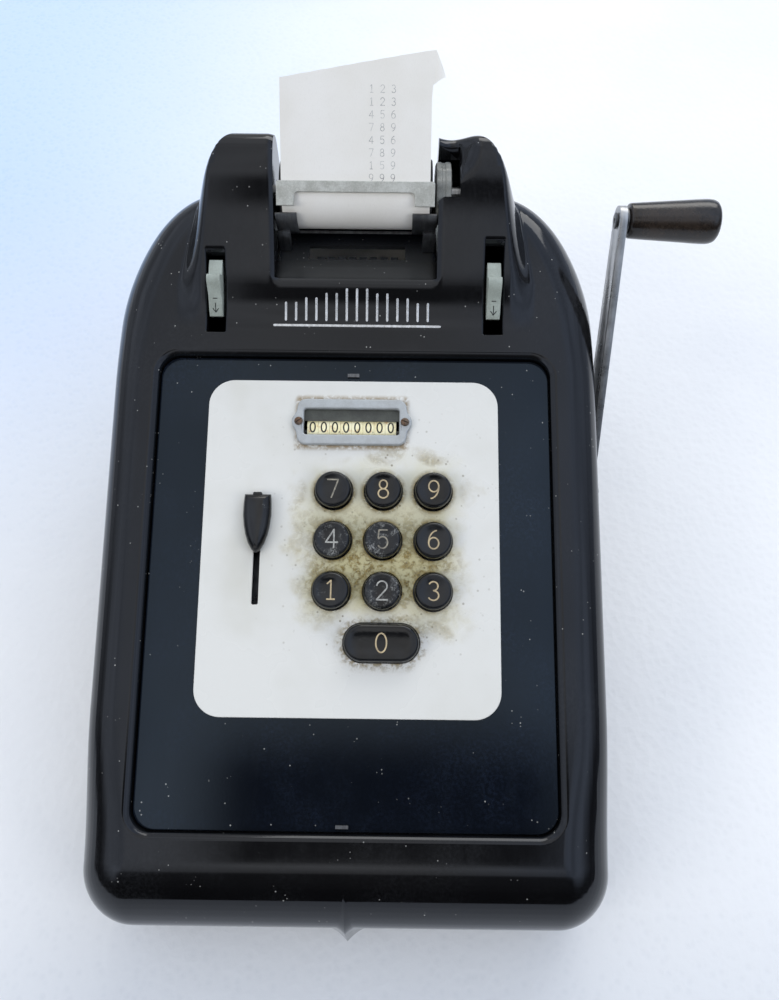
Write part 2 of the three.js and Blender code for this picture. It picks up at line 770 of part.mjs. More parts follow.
function paperStrip() {
  const half = 0.15;
  const rollSide = ROLL_AXIS[0] + ROLL_RADIUS + 0.45;
  const bottom = PLATEN_AXIS[1] - PLATEN_RADIUS - 0.45;
  const turn = 3.2;
  const side = (sign) => [
    [rollSide + sign * half, ROLL_AXIS[1]],
    ...arc(rollSide - turn, bottom - turn, turn + sign * half, 0, Math.PI / 2, 4),
    ...arc(...PLATEN_AXIS, PLATEN_RADIUS + 0.45 - sign * half, 1.5 * Math.PI, paperLeave, 16),
    paperPoint(20, -sign * half),
    paperPoint(39, -sign * half),
  ];
  const outline = [...side(1), ...side(-1).reverse()];
  return sweepX(outline, -PAPER_HALF, PAPER_HALF);
}
place("paper_strip", paperStrip(), "paper");
place("paper_roll", rodX(ROLL_RADIUS, -28.5, 28.5, ROLL_AXIS, 28, 3.5), "paper");
place("roll_spindle", rodX(3.1, -47.5, 47.5, ROLL_AXIS, 14), "steel");

function tearBar() {
  const bar = solidOf(
    sweepX(
      [paperPoint(-1.8, 0.6), paperPoint(2.3, 0.6), paperPoint(2.3, 1.5), paperPoint(-1.8, 1.5)],
      -30.4,
      30.4,
    ),
  );
  const legProfile = [
    paperPoint(-6.8, 0.6),
    paperPoint(0, 0.6),
    paperPoint(0, 1.5),
    paperPoint(-6.8, 1.5),
  ];
  const left = solidOf(sweepX(legProfile, -30.4, -23.4));
  const right = solidOf(sweepX(legProfile, 22.6, 30.4));
  return geometryOf(bar.add(left).add(right));
}
place("tear_bar", tearBar(), "tearBar");

function ribbonGuide() {
  const from = THREE.MathUtils.degToRad(168);
  const to = THREE.MathUtils.degToRad(226);
  const outline = [
    ...arc(...PLATEN_AXIS, 15.4, from, to, 7),
    ...arc(...PLATEN_AXIS, 14.3, to, from, 7),
  ];
  const shield = solidOf(sweepX(outline, -31.4, 31.4));
  const windowCut = solidOf(box(-23, 22, 108, 122, 132.5, 160));
  const leftArm = solidOf(box(-31.4, -26.4, 113.9, 116.1, 125.9, 136));
  const rightArm = solidOf(box(26.4, 31.4, 113.9, 116.1, 125.9, 136));
  return geometryOf(shield.add(leftArm).add(rightArm).subtract(windowCut));
}
place("ribbon_guide", ribbonGuide(), "darkSteel");

// ---------- crank ----------
function cranked(distance, aside) {
  const y = CRANK_AXIS[0] + distance * Math.cos(CRANK_REST) - aside * Math.sin(CRANK_REST);
  const z = CRANK_AXIS[1] + distance * Math.sin(CRANK_REST) + aside * Math.cos(CRANK_REST);
  return [y, z];
}
const GRIP_AXIS = cranked(CRANK_REACH, 0);

function crankArm() {
  const quarter = Math.PI / 2;
  const lower = arc(...CRANK_AXIS, 8.5, CRANK_REST + quarter, CRANK_REST + 3 * quarter, 8);
  const upper = arc(...GRIP_AXIS, 5.6, CRANK_REST - quarter, CRANK_REST + quarter, 8);
  const leaning = sweepX([...lower, ...upper], 98.2, 101);
  const lean = new THREE.Matrix4().set(
    ...[1, CRANK_LEAN * Math.cos(CRANK_REST), CRANK_LEAN * Math.sin(CRANK_REST)],
    -CRANK_LEAN * (CRANK_AXIS[0] * Math.cos(CRANK_REST) + CRANK_AXIS[1] * Math.sin(CRANK_REST)),
    ...[0, 1, 0, 0],
    ...[0, 0, 1, 0],
    ...[0, 0, 0, 1],
  );
  leaning.applyMatrix4(lean);
  const plate = solidOf(leaning);
  const boss = solidOf(rodX(7.5, 97.1, 98.6, CRANK_AXIS, 20));
  const shaftHole = solidOf(rodX(4.3, 95, 110, CRANK_AXIS, 16));
  const pinHole = solidOf(rodX(2.6, 95, 110, GRIP_AXIS, 12));
  return geometryOf(plate.add(boss).subtract(shaftHole).subtract(pinHole));
}
place("crank_arm", crankArm(), "steel");
place("crank_shaft", rodX(4, -49, 104.6, CRANK_AXIS, 16), "steel");
place("crank_nut", rodX(6.4, 101.6, 104.2, CRANK_AXIS, 6, 4.3), "darkSteel");

place(
  "grip_spindle",
  turnedX(
    [
      [0, 100.7],
      [3.1, 100.7],
      [3.1, 101.2],
      [2.3, 101.2],
      [2.3, 104.9],
      [4.8, 104.9],
      [4.8, 105.5],
      [2.3, 105.5],
      [2.3, 136],
      [0, 136],
    ],
    GRIP_AXIS,
    12,
  ),
  "darkSteel",
);
place(
  "crank_grip",
  turnedX(
    [
      [2.6, 105.8],
      [6.3, 105.8],
      [6.7, 106.6],
      [7.2, 116],
      [7.8, 127],
      [8.3, 135],
      [8.1, 138],
      [7.2, 139.8],
      [5, 140.4],
      [0, 140.4],
      [0, 136.4],
      [2.6, 136.4],
      [2.6, 105.8],
    ],
    GRIP_AXIS,
    16,
  ),
  "grip",
);

// ---------- frame and mechanism inside ----------
const [railY, railZ] = deckPoint(-5, -41);

function sideFrame(x0, x1) {
  const frontTop = deckPoint(-72, -4.4);
  const rearTop = deckPoint(66.2, -4.4);
  const step = deckPoint(66.8, -7);
  const outline = [
    [-72, 10.4],
    [137, 10.4],
    [137, 118],
    [135.5, 146],
    [123.5, 146],
    [119, 122],
    [104, 116],
    [88, 112],
    step,
    rearTop,
    frontTop,
    [-72, 60],
  ];
  const holes = [
    circle(...CRANK_AXIS, 4.4, 12),
    circle(wheelY, wheelZ, 1.8, 8),
    circle(...PLATEN_AXIS, 3.3, 10),
    circle(...ROLL_AXIS, 3.5, 10),
    circle(...LEVER_AXIS, 2.9, 8),
    circle(...TYPE_AXIS, 3.4, 10),
    circle(railY, railZ, 2.3, 8),
    circle(-50, 30, 3.3, 8),
    circle(-20, 34, 12, 12),
    circle(92, 44, 13, 12),
  ];
  return sweepX(outline, x0, x1, holes);
}
place("side_frame_left", sideFrame(-FRAME_X - 1, -FRAME_X + 1), "castIron");
place("side_frame_right", sideFrame(FRAME_X - 1, FRAME_X + 1), "castIron");
place("frame_tie_rod", rodX(3, -47.5, 47.5, [-50, 30], 12), "steel");
place("carriage_rail", rodX(2, -47.5, 47.5, [railY, railZ], 10), "steel");

function pinCarriage() {
  let block = solidOf(box(-7, 33, -24, 14, -44.5, -37.5));
  for (let i = 0; i < WHEELS; i += 1) {
    const x = -5 + i * 5;
    block = block.add(solidOf(box(x - 1, x + 1, -22, 12, -38, -35.4)));
  }
  const carriage = geometryOf(block).applyMatrix4(deckMatrix);
  const bore = rodX(2.3, -10, 40, [railY, railZ], 12);
  return geometryOf(solidOf(carriage).subtract(solidOf(bore)));
}
place("pin_carriage", pinCarriage(), "brass");

function typeBank() {
  const [y, z] = TYPE_AXIS;
  const barProfile = [
    [y - 3, z - 3],
    [112, 107.5],
    [116.7, 109.5],
    [116.7, 120],
    [114, 120],
    [113.4, 113.2],
    [y, z + 3],
  ];
  let bank = solidOf(rodX(3, -47.5, 47.5, TYPE_AXIS, 14));
  for (let i = 0; i < WHEELS; i += 1) {
    const x = (i - (WHEELS - 1) / 2) * COUNTER.pitch;
    bank = bank.add(solidOf(sweepX(barProfile, x - 1.5, x + 1.5)));
  }
  return geometryOf(bank);
}
place("type_bank", typeBank(), "steel");

// ---------- small visible fittings on the panel ----------
function clip(x, s0, s1) {
  return deckBox(x - 2.3, x + 2.3, s0, s1, PANEL_TOP + 0.15, PANEL_TOP + 0.9);
}
place("panel_clip_rear", clip(-0.4, 65, 66.4), "steel");
place("panel_clip_front", clip(-1.2, -103.4, -102.2), "steel");

// the bezel screws need holes of their own in the plate and the panel, so they are placed last
place("bezel_screw_left", screw(COUNTER.x - 20.6, COUNTER.s), "darkSteel");
place("bezel_screw_right", screw(COUNTER.x + 20.6, COUNTER.s), "darkSteel");

export default root;
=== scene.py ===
"""Looks for the hand-crank ten-key adding machine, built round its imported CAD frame.

Shapes are worked out in millimetres in the machine's own layout: x across, y from the keyboard (front)
to the paper hood (rear), z up, with key 5 above the origin's line. piece() moves them to the row frame.
"""

import math

import bpy
import numpy as np
from mathutils import Matrix, Vector
from mathutils.geometry import tessellate_polygon


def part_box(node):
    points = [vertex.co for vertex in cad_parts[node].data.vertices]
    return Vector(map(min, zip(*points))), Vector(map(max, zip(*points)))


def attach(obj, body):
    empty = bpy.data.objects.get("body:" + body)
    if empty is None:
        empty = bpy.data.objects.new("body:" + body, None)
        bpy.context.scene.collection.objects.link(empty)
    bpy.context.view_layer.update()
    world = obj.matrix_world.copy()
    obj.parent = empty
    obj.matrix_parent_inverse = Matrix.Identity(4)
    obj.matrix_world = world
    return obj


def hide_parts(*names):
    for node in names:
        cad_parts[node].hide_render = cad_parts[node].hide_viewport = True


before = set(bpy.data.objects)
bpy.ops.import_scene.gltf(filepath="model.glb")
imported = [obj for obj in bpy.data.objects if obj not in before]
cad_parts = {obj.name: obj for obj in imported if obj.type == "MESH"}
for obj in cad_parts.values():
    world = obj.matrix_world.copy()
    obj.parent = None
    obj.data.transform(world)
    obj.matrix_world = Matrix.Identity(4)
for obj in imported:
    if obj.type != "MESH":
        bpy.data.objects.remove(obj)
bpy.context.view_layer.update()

# ---------- layout ----------
MM = 0.001
HOUSING_LOW, HOUSING_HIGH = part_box("housing")
HALF_WIDTH, FRONT_Y, REAR_Y = 96.5, -130.0, 145.0
ORIGIN = np.array([HOUSING_LOW.x + HALF_WIDTH * MM, HOUSING_HIGH.y - REAR_Y * MM, 0.0])
TO_FRAME = Matrix.Translation(Vector(ORIGIN)) @ Matrix.Scale(MM, 4)

TILT = math.radians(17)
DECK_Z, CROWN_RISE = 92.0, 3.0
HOOD_HALF, HOOD_RISE, HOOD_START, HOOD_RUN = 66.2, 24.0, 78.0, 62.0
FRONT_CORNER, REAR_ACROSS, REAR_ALONG = 19.0, 40.0, 60.0
WALL, FLOOR_Z = 4.0, 10.3
PANEL = (-76.4, 76.4, -104.7, 72.7)
PLATE = (-56.7, 56.3, -65.4, 63.2)
KEY_PITCH, KEY_COLUMN, KEY_RADIUS = 19.05, 12.0, 6.95
ZERO_S, ZERO_HALF, ZERO_RADIUS = -38.1, 7.0, 6.9
COUNTER_X, COUNTER_S, SCREW_REACH = -0.6, 46.2, 20.6
CORRECTION_X = -35.6
WHEELS, WHEEL_S, WHEEL_N, WHEEL_RADIUS, WHEEL_PITCH = 8, 44.6, -8.6, 8.0, 4.35
PLATEN_AXIS, PLATEN_RADIUS = (129.5, 141.6), 13.0
ROLL_AXIS, ROLL_RADIUS = (122.0, 80.0), 17.0
PAPER_HALF, PAPER_RISE, PAPER_GAP = 28.6, math.radians(40), 0.45
CRANK_AXIS, CRANK_REACH, CRANK_REST = (40.0, 60.0), 111.5, math.radians(47.6)
CRANK_LEAN = 0.031
LEVER_AXIS, LEVER_REST = (108.0, 103.0), math.radians(123)
LEVER_SLOTS = ((-58.6, -51.3, 77.9, 104.4), (50.7, 58.1, 77.9, 107.9))
CHANNEL_HALF, CHANNEL_FRONT, CHANNEL_REAR = 32.0, 96.5, 139.0
KNOB_POCKET = (31.0, 40.2, 124.5, 139.0)


def deck(points):
    """Points given as x, run along the deck, height square to it."""
    p = np.atleast_2d(np.asarray(points, float))
    s, n = p[:, 1], p[:, 2]
    y = s * math.cos(TILT) - n * math.sin(TILT)
    z = DECK_Z + s * math.sin(TILT) + n * math.cos(TILT)
    return np.stack([p[:, 0], y, z], 1)


DECK_UP = np.array([0.0, -math.sin(TILT), math.cos(TILT)])


# ---------- node materials ----------
class Nodes:
    """Short calls for the nodes of one tree; place is the point that its patterns are read at."""

    def __init__(self, tree, place):
        self.tree = tree
        self.place = tree.nodes.new("ShaderNodeTexCoord").outputs[place]

    def put(self, socket, value):
        if isinstance(value, bpy.types.NodeSocket):
            self.tree.links.new(value, socket)
        else:
            socket.default_value = value

    def node(self, kind, inputs, **settings):
        made = self.tree.nodes.new(kind)
        for key, value in settings.items():
            setattr(made, key, value)
        for key, value in inputs.items():
            self.put(made.inputs[key], value)
        return made

    def math(self, operation, a, b=0.0):
        return self.node("ShaderNodeMath", {0: a, 1: b}, operation=operation).outputs[0]

    def plus(self, a, b):
        return self.math("ADD", a, b)

    def minus(self, a, b):
        return self.math("SUBTRACT", a, b)

    def both(self, a, b, *more):
        product = self.math("MULTIPLY", a, b)
        return self.both(product, *more) if more else product

    def blend(self, a, share_a, b, share_b):
        return self.plus(self.both(a, share_a), self.both(b, share_b))

    def most(self, a, b):
        return self.math("MAXIMUM", a, b)

    def size(self, a):
        return self.math("ABSOLUTE", a)

    def reach(self, a, b):
        return self.math("SQRT", self.plus(self.both(a, a), self.both(b, b)))

    def axes(self):
        return self.node("ShaderNodeSeparateXYZ", {0: self.place}).outputs

    def stretched(self, x=1.0, y=1.0, z=1.0):
        return self.node("ShaderNodeMapping", {"Vector": self.place, "Scale": (x, y, z)}).outputs[0]

    def noise(self, scale, detail=3.0, rough=0.55, where=None, warp=0.0):
        inputs = {"Vector": where or self.place, "Scale": scale, "Detail": detail}
        inputs.update({"Roughness": rough, "Distortion": warp})
        return self.node("ShaderNodeTexNoise", inputs).outputs["Fac"]

    def cells(self, scale):
        inputs = {"Vector": self.place, "Scale": scale}
        return self.node("ShaderNodeTexVoronoi", inputs).outputs["Distance"]

    def between(self, value, low, high, to_low=0.0, to_high=1.0):
        inputs = {0: value, 1: low, 2: high, 3: to_low, 4: to_high}
        return self.node("ShaderNodeMapRange", inputs, interpolation_type="SMOOTHSTEP").outputs[0]

    def mix(self, share, a, b):
        a, b = (v if isinstance(v, bpy.types.NodeSocket) else (*v, 1.0) for v in (a, b))
        return self.node("ShaderNodeMix", {0: share, 6: a, 7: b}, data_type="RGBA").outputs[2]


class Look(Nodes):
    """A procedural material; the settings are the shader's own sockets."""

    def __init__(self, name, **settings):
        self.material = bpy.data.materials.new(name)
        self.material.use_nodes = True
        super().__init__(self.material.node_tree, "Object")
        self.shader = self.tree.nodes["Principled BSDF"]
        for key, value in settings.items():
            self.shader.inputs[key.replace("_", " ")].default_value = value

    def colour(self, value):
        self.put(self.shader.inputs["Base Color"], value)

    def roughness(self, value):
        self.put(self.shader.inputs["Roughness"], value)

    def metal(self, value):
        self.put(self.shader.inputs["Metallic"], value)

    def bump(self, height, depth, strength=1.0):
        made = self.node("ShaderNodeBump", {"Strength": strength, "Distance": depth, "Height": height})
        self.put(self.shader.inputs["Normal"], made.outputs[0])
        return self

    def layout(self):
        """x, y and z in metres from the layout's origin."""
        return [self.minus(value, float(start)) for value, start in zip(self.axes(), ORIGIN)]

    def deck_run(self):
        """x and the run along the deck, in metres from key 5."""
        x, y, z = self.layout()
        return x, self.blend(y, math.cos(TILT), self.minus(z, DECK_Z * MM), math.sin(TILT))


def worn_black(name, base, dust_and_sky_tint, rough, dust, sheen):
    """Black gloss under dust, with pale specks and a paper channel whose lip is painted lighter as a painted
    reflection of the paper; sheen tints its highlights.
    """
    look = Look(name, Specular_IOR_Level=0.42, Specular_Tint=(*sheen, 1.0))
    cloud = look.noise(28, 5, 0.62)
    grain = look.noise(900, 3, 0.6)
    haze = look.both(look.between(cloud, 0.38, 0.72), look.between(grain, 0.35, 0.75))
    specks = look.between(look.cells(420), 0.16, 0.05)
    rare = look.both(specks, look.between(look.noise(130, 2), 0.57, 0.64))
    # the dust tone also carries a painted sky reflection where it is tinted blue, as on the black enamel
    tone = look.mix(look.both(haze, dust), base, dust_and_sky_tint)
    x, y, _ = look.layout()
    # the paper channel's lip is painted lighter: a painted reflection of the paper strip above it
    channel = look.both(look.between(y, 0.094, 0.099), look.between(y, 0.128, 0.104))
    inside = look.between(look.size(x), 0.0325, 0.029)
    tone = look.mix(look.both(channel, inside, 0.8), tone, (0.052, 0.053, 0.052))
    look.colour(look.mix(look.both(rare, 0.75), tone, (0.42, 0.42, 0.40)))
    scratch = look.noise(160, 4, 0.7, look.stretched(1, 0.16, 0.5), 0.4)
    mixed = look.blend(cloud, 0.6, scratch, 0.4)
    look.roughness(look.between(mixed, 0.34, 0.68, *rough))
    ripple = look.plus(look.both(look.noise(11, 2), 1.0), look.both(grain, 0.03))
    return look.bump(ripple, 0.0005, 0.22)


def face_plate_look():
    """White enamel with grime round the keys, thickest between 5 and 0, and rust round the bezel."""
    look = Look("white_enamel", Specular_IOR_Level=0.45)
    x, s = look.deck_run()
    pitch = KEY_PITCH * MM
    column = look.minus(x, KEY_COLUMN * MM)
    cell_x = look.math("PINGPONG", column, pitch / 2)
    cell_s = look.math("PINGPONG", s, pitch / 2)
    near = look.between(look.reach(cell_x, cell_s), 0.0098, 0.0074)
    stray = look.both(look.minus(look.noise(60, 4, 0.6), 0.5), 0.03)
    block_x = look.between(look.plus(look.size(column), stray), 0.037, 0.018)
    block_s = look.between(look.plus(look.size(s), stray), 0.037, 0.018)
    middle = look.between(look.size(look.plus(s, 0.012)), 0.034, 0.004)
    block = look.both(block_x, block_s)
    blot = look.noise(380, 6, 0.74, warp=0.4)
    fine = look.noise(1500, 4, 0.7)
    crust = look.both(near, look.between(blot, 0.35, 0.52))
    spill = look.both(look.between(blot, 0.43, 0.60), look.between(look.noise(45, 3), 0.32, 0.50))
    dirt = look.both(block, look.most(look.both(crust, 0.9), look.both(spill, middle)))
    dots = look.both(look.between(look.cells(330), 0.20, 0.08), look.between(look.noise(85, 2), 0.47, 0.56))
    zero_s = look.minus(s, ZERO_S * MM)
    zero_x = look.most(look.minus(look.size(column), ZERO_HALF * MM), 0.0)
    round_zero = look.between(look.reach(zero_x, zero_s), 0.0120, 0.0074)
    dirt = look.most(dirt, look.both(round_zero, look.between(blot, 0.44, 0.62), 0.85))
    wide = look.between(look.size(column), 0.052, 0.020)
    dotted = look.both(dots, wide, look.between(look.size(s), 0.056, 0.03))
    off_x = look.most(look.minus(look.size(look.minus(x, COUNTER_X * MM)), 0.0205), 0.0)
    off_s = look.most(look.minus(look.size(look.minus(s, COUNTER_S * MM)), 0.0092), 0.0)
    rim = look.between(look.reach(off_x, off_s), 0.0026, 0.0002)
    rust = look.both(rim, look.between(blot, 0.36, 0.56))
    soft = look.between(look.noise(16, 4, 0.6), 0.40, 0.75)
    run = look.both(look.between(look.size(look.plus(x, 0.040)), 0.012, 0.003), soft)
    ground = look.mix(soft, (0.72, 0.725, 0.70), (0.645, 0.645, 0.605))
    ground = look.mix(look.both(block, 0.6), ground, (0.60, 0.565, 0.34))
    ground = look.mix(look.both(block, middle, 0.6), ground, (0.48, 0.42, 0.16))
    ground = look.mix(look.both(run, 0.35), ground, (0.56, 0.55, 0.47))
    ground = look.mix(look.both(look.between(fine, 0.55, 0.8), 0.12), ground, (0.42, 0.42, 0.38))
    olive = look.mix(look.between(fine, 0.35, 0.65), (0.30, 0.21, 0.045), (0.12, 0.08, 0.022))
    ground = look.mix(look.both(dirt, 0.92), ground, olive)
    ground = look.mix(look.both(dotted, 0.75), ground, (0.16, 0.13, 0.07))
    ground = look.mix(look.both(rust, 0.8), ground, (0.24, 0.15, 0.045))
    look.colour(ground)
    rough = look.blend(dirt, 0.4, soft, 0.14)
    look.roughness(look.plus(rough, 0.27))
    raised = look.blend(dirt, 0.6, look.noise(14, 2), 0.5)
    return look.bump(look.plus(raised, look.both(fine, 0.06)), 0.0004, 0.5)


def key_look(name, worn):
    look = Look(name, Specular_IOR_Level=0.42)
    patch = look.between(look.noise(230, 5, 0.7, warp=0.6), 0.66 - 0.17 * worn, 0.74 - 0.08 * worn)
    speck = look.between(look.noise(1900, 3, 0.7), 0.42, 0.62)
    wear = look.both(patch, speck)
    tone = look.mix(look.between(look.noise(60, 3), 0.4, 0.7), (0.004, 0.0042, 0.005), (0.010, 0.011, 0.013))
    look.colour(look.mix(look.both(wear, 0.25 + 0.4 * worn), tone, (0.36, 0.37, 0.36)))
    look.roughness(look.between(look.noise(120, 4, 0.6), 0.35, 0.7, 0.09, 0.22 + 0.2 * worn))
    return look.bump(look.noise(700, 3, 0.6), 0.00008, 0.4)


def metal_look(name, light, dark, rough, rust, metallic=0.9, scale=120.0):
    look = Look(name, Metallic=metallic)
    cloud = look.noise(scale, 5, 0.65)
    brushed = look.noise(900, 3, 0.6, look.stretched(1, 0.12, 0.12))
    mixed = look.blend(cloud, 0.6, brushed, 0.4)
    tone = look.mix(look.between(mixed, 0.36, 0.66), dark, light)
    spots = look.both(look.between(look.noise(420, 6, 0.72), 0.60 - 0.14 * rust, 0.72 - 0.1 * rust), rust)
    look.colour(look.mix(spots, tone, (0.16, 0.065, 0.022)))
    look.metal(look.minus(metallic, look.both(spots, 0.7 * metallic)))
    look.roughness(look.between(cloud, 0.35, 0.7, *rough))
    return look.bump(look.blend(brushed, 0.4, look.noise(500, 4), 0.6), 0.0001, 0.4)


def plain_look(name, light, dark, rough, scale, depth, **settings):
    look = Look(name, **settings)
    cloud, fine = look.noise(scale, 5, 0.62), look.noise(scale * 11, 3, 0.6)
    mixed = look.blend(cloud, 0.65, fine, 0.35)
    look.colour(look.mix(look.between(mixed, 0.36, 0.66), dark, light))
    look.roughness(look.between(cloud, 0.3, 0.7, *rough))
    return look.bump(fine, depth, 0.5)


def paper_look():
    look = Look("paper", Roughness=0.85, Specular_IOR_Level=0.2)
    fibre = look.noise(2400, 4, 0.7, look.stretched(1, 0.4, 0.4))
    cloud = look.noise(35, 3, 0.5)
    tone = look.mix(look.between(cloud, 0.35, 0.7), (0.87, 0.86, 0.83), (0.82, 0.805, 0.76))
    look.colour(look.mix(look.both(look.between(fibre, 0.45, 0.8), 0.2), tone, (0.66, 0.645, 0.60)))
    return look.bump(fibre, 0.00005, 0.4)


def wheel_look():
    look = Look("counter_wheel", Specular_IOR_Level=0.4)
    stain = look.between(look.noise(520, 5, 0.7), 0.52, 0.68)
    tone = look.mix(look.between(look.noise(200, 3), 0.35, 0.7), (0.95, 0.90, 0.62), (0.88, 0.80, 0.48))
    look.colour(look.mix(look.both(stain, 0.7), tone, (0.55, 0.24, 0.06)))
    look.roughness(look.between(look.noise(300, 3), 0.3, 0.7, 0.35, 0.6))
    return look.bump(look.noise(1500, 3), 0.00006, 0.4)


def floor_look():
    look = Look("foam_board", Specular_IOR_Level=0.25)
    beads = look.cells(260)
    cloud = look.noise(5, 4, 0.55)
    streak = look.noise(30, 4, 0.65, look.stretched(0.12, 1, 1))
    tone = look.mix(look.between(cloud, 0.35, 0.7), (0.85, 0.865, 0.885), (0.79, 0.81, 0.84))
    tone = look.mix(look.both(look.between(streak, 0.5, 0.75), 0.2), tone, (0.89, 0.905, 0.925))
    x, y, _ = look.axes()
    # a bluer, darker patch to the left of the machine: painted blue shade on the floor
    painted_blue_shade = look.both(look.between(x, 0.05, -0.30), look.between(y, -0.05, 0.32))
    painted_blue_shade = look.both(painted_blue_shade, look.both(look.between(x, -1.1, -0.5), look.between(y, 1.3, 0.6)))
    tone = look.mix(painted_blue_shade, tone, (0.54, 0.69, 0.93))
    # the floor is painted darker towards the front: a painted shadow
    tone = look.mix(look.between(y, -0.07, -0.22), tone, (0.60, 0.63, 0.675))
    look.colour(look.mix(look.both(look.between(beads, 0.10, 0.5), 0.10), tone, (0.93, 0.94, 0.955)))
    look.roughness(look.between(cloud, 0.3, 0.7, 0.55, 0.75))
    height = look.blend(beads, 0.5, look.noise(160, 4), 0.7)
    return look.bump(height, 0.0009, 0.35)


LOOKS = {
    "bakelite": worn_black(
        "bakelite", (0.0035, 0.0035, 0.004), (0.024, 0.025, 0.028), (0.05, 0.15), 0.30, (0.88, 0.92, 1.0)
    ),
    # blue-tinted base and dust tones: a painted reflection of the sky over the enamel's real dust
    "enamel": worn_black(
        "black_enamel", (0.0025, 0.0035, 0.0065), (0.015, 0.024, 0.048), (0.04, 0.12), 0.34, (0.66, 0.83, 1.0)
    ),
    "plate": face_plate_look(),
    "key": key_look("key_plastic", 0.12),
    "key_worn": key_look("key_plastic_worn", 1.0),
    "cream": plain_look("cream_figures", (0.62, 0.50, 0.30), (0.34, 0.27, 0.17), (0.4, 0.6), 400, 0.00004),
    "faded": plain_look("faded_figures", (0.36, 0.33, 0.26), (0.10, 0.095, 0.085), (0.4, 0.6), 500, 0.00004),
    "pale": plain_look("pale_figures", (0.50, 0.50, 0.47), (0.22, 0.22, 0.21), (0.4, 0.6), 500, 0.00004),
    "bezel": plain_look(
        "bezel_paint", (0.47, 0.50, 0.515), (0.39, 0.41, 0.42), (0.3, 0.45), 220, 0.00003, Metallic=0.25
    ),
    "rusty": metal_look("rusty_screw", (0.26, 0.20, 0.15), (0.10, 0.07, 0.05), (0.5, 0.75), 0.8, 0.6),
    "wheel": wheel_look(),
    "ink": plain_look("black_ink", (0.020, 0.020, 0.020), (0.008, 0.008, 0.008), (0.45, 0.65), 300, 0.00003),
    "print": plain_look("faint_print", (0.66, 0.655, 0.64), (0.22, 0.22, 0.23), (0.8, 0.9), 170, 0.00002),
    "mask": plain_look("mask_paint", (0.085, 0.092, 0.078), (0.045, 0.047, 0.042), (0.4, 0.6), 180, 0.00005),
    "steel": metal_look("steel", (0.50, 0.505, 0.51), (0.30, 0.305, 0.31), (0.26, 0.42), 0.12),
    "dark_steel": metal_look("dark_steel", (0.20, 0.205, 0.21), (0.09, 0.09, 0.095), (0.35, 0.55), 0.15),
    "iron": metal_look("frame_iron", (0.10, 0.10, 0.105), (0.045, 0.045, 0.048), (0.5, 0.7), 0.25, 0.6),
    "lever": plain_look("lever_plastic", (0.40, 0.45, 0.41), (0.30, 0.335, 0.30), (0.38, 0.58), 150, 0.0001),
    "rubber": plain_look("rubber", (0.020, 0.020, 0.021), (0.010, 0.010, 0.010), (0.7, 0.9), 200, 0.0002),
    "paper": paper_look(),
    "tear": plain_look(
        "tear_bar_nickel", (0.62, 0.63, 0.59), (0.40, 0.405, 0.37), (0.34, 0.5), 160, 0.00003, Metallic=0.35
    ),
    "knob": plain_look("grey_knob", (0.27, 0.28, 0.265), (0.17, 0.175, 0.165), (0.35, 0.55), 200, 0.0001),
    "grip": plain_look("grip_plastic", (0.03, 0.021, 0.015), (0.007, 0.006, 0.006), (0.16, 0.3), 90, 0.0001),
    "brass": metal_look("brass", (0.56, 0.42, 0.18), (0.30, 0.21, 0.09), (0.3, 0.5), 0.1),
    "silver": metal_look("silver_inlay", (0.74, 0.75, 0.76), (0.46, 0.47, 0.48), (0.22, 0.42), 0.1, 0.75, 500),
}


# ---------- mesh building ----------
def loft(rings, cap_start=True, cap_end=True, wrap=True):
    """Faces between rings of equal count, with flat caps."""
    rings = [np.asarray(r, float) for r in rings]
    count, total = len(rings[0]), len(rings)
    vertices = np.concatenate(rings)
    faces = []
    for k in range(total - 1):
        for i in range(count if wrap else count - 1):
            a, b = k * count + i, k * count + (i + 1) % count
            faces.append((a, b, b + count, a + count))
    if cap_start:
        faces.append(tuple(reversed(range(count))))
    if cap_end:
        faces.append(tuple(range((total - 1) * count, total * count)))
    return vertices, faces


def level(loop, z):
    """A flat (x, y) loop at a height."""
    return np.column_stack([loop, np.full(len(loop), z)])


def upright(loop, x):
    """A (y, z) loop at a place across the machine."""
    return np.column_stack([np.full(len(loop), x), loop])


def wider(rectangle, by):
    x0, x1, y0, y1 = rectangle
    return x0 - by, x1 + by, y0 - by, y1 + by


def circle(a, b, radius, steps):
    t = np.linspace(0, 2 * math.pi, steps, endpoint=False)
    return np.stack([a + radius * np.cos(t), b + radius * np.sin(t)], 1)


def arc(a, b, ra, rb, start, end, steps):
    t = np.radians(np.linspace(start, end, steps))
    return [(a + ra * math.cos(v), b + rb * math.sin(v)) for v in t]


def rounded(x0, x1, y0, y1, r, steps=8):
    corners = ((x1 - r, y1 - r, 0), (x0 + r, y1 - r, 90), (x0 + r, y0 + r, 180), (x1 - r, y0 + r, 270))
    return np.array([p for x, y, start in corners for p in arc(x, y, r, r, start, start + 90, steps)])


def stadium(x, s, half, radius, steps=24):
    right = arc(x + half, s, radius, radius, -90, 90, steps)
    return np.array(right + arc(x - half, s, radius, radius, 90, 270, steps))


def signed_area(loop):
    x, y = loop[:, 0], loop[:, 1]
    return 0.5 * float(np.sum(x * np.roll(y, -1) - np.roll(x, -1) * y))


def unit(vectors):
    return vectors / (np.linalg.norm(vectors, axis=1)[:, None] + 1e-12)


def drawn_in(loop, distance):
    """An anticlockwise loop moved to its left by a distance."""
    sides = (np.roll(loop, -1, 0) - loop, loop - np.roll(loop, 1, 0))
    ahead, behind = (unit(side)[:, ::-1] * (-1, 1) for side in sides)
    middle = ahead + behind
    scale = np.maximum(np.sum(middle * ahead, 1), 0.35)
    return loop + middle * (distance / scale)[:, None]


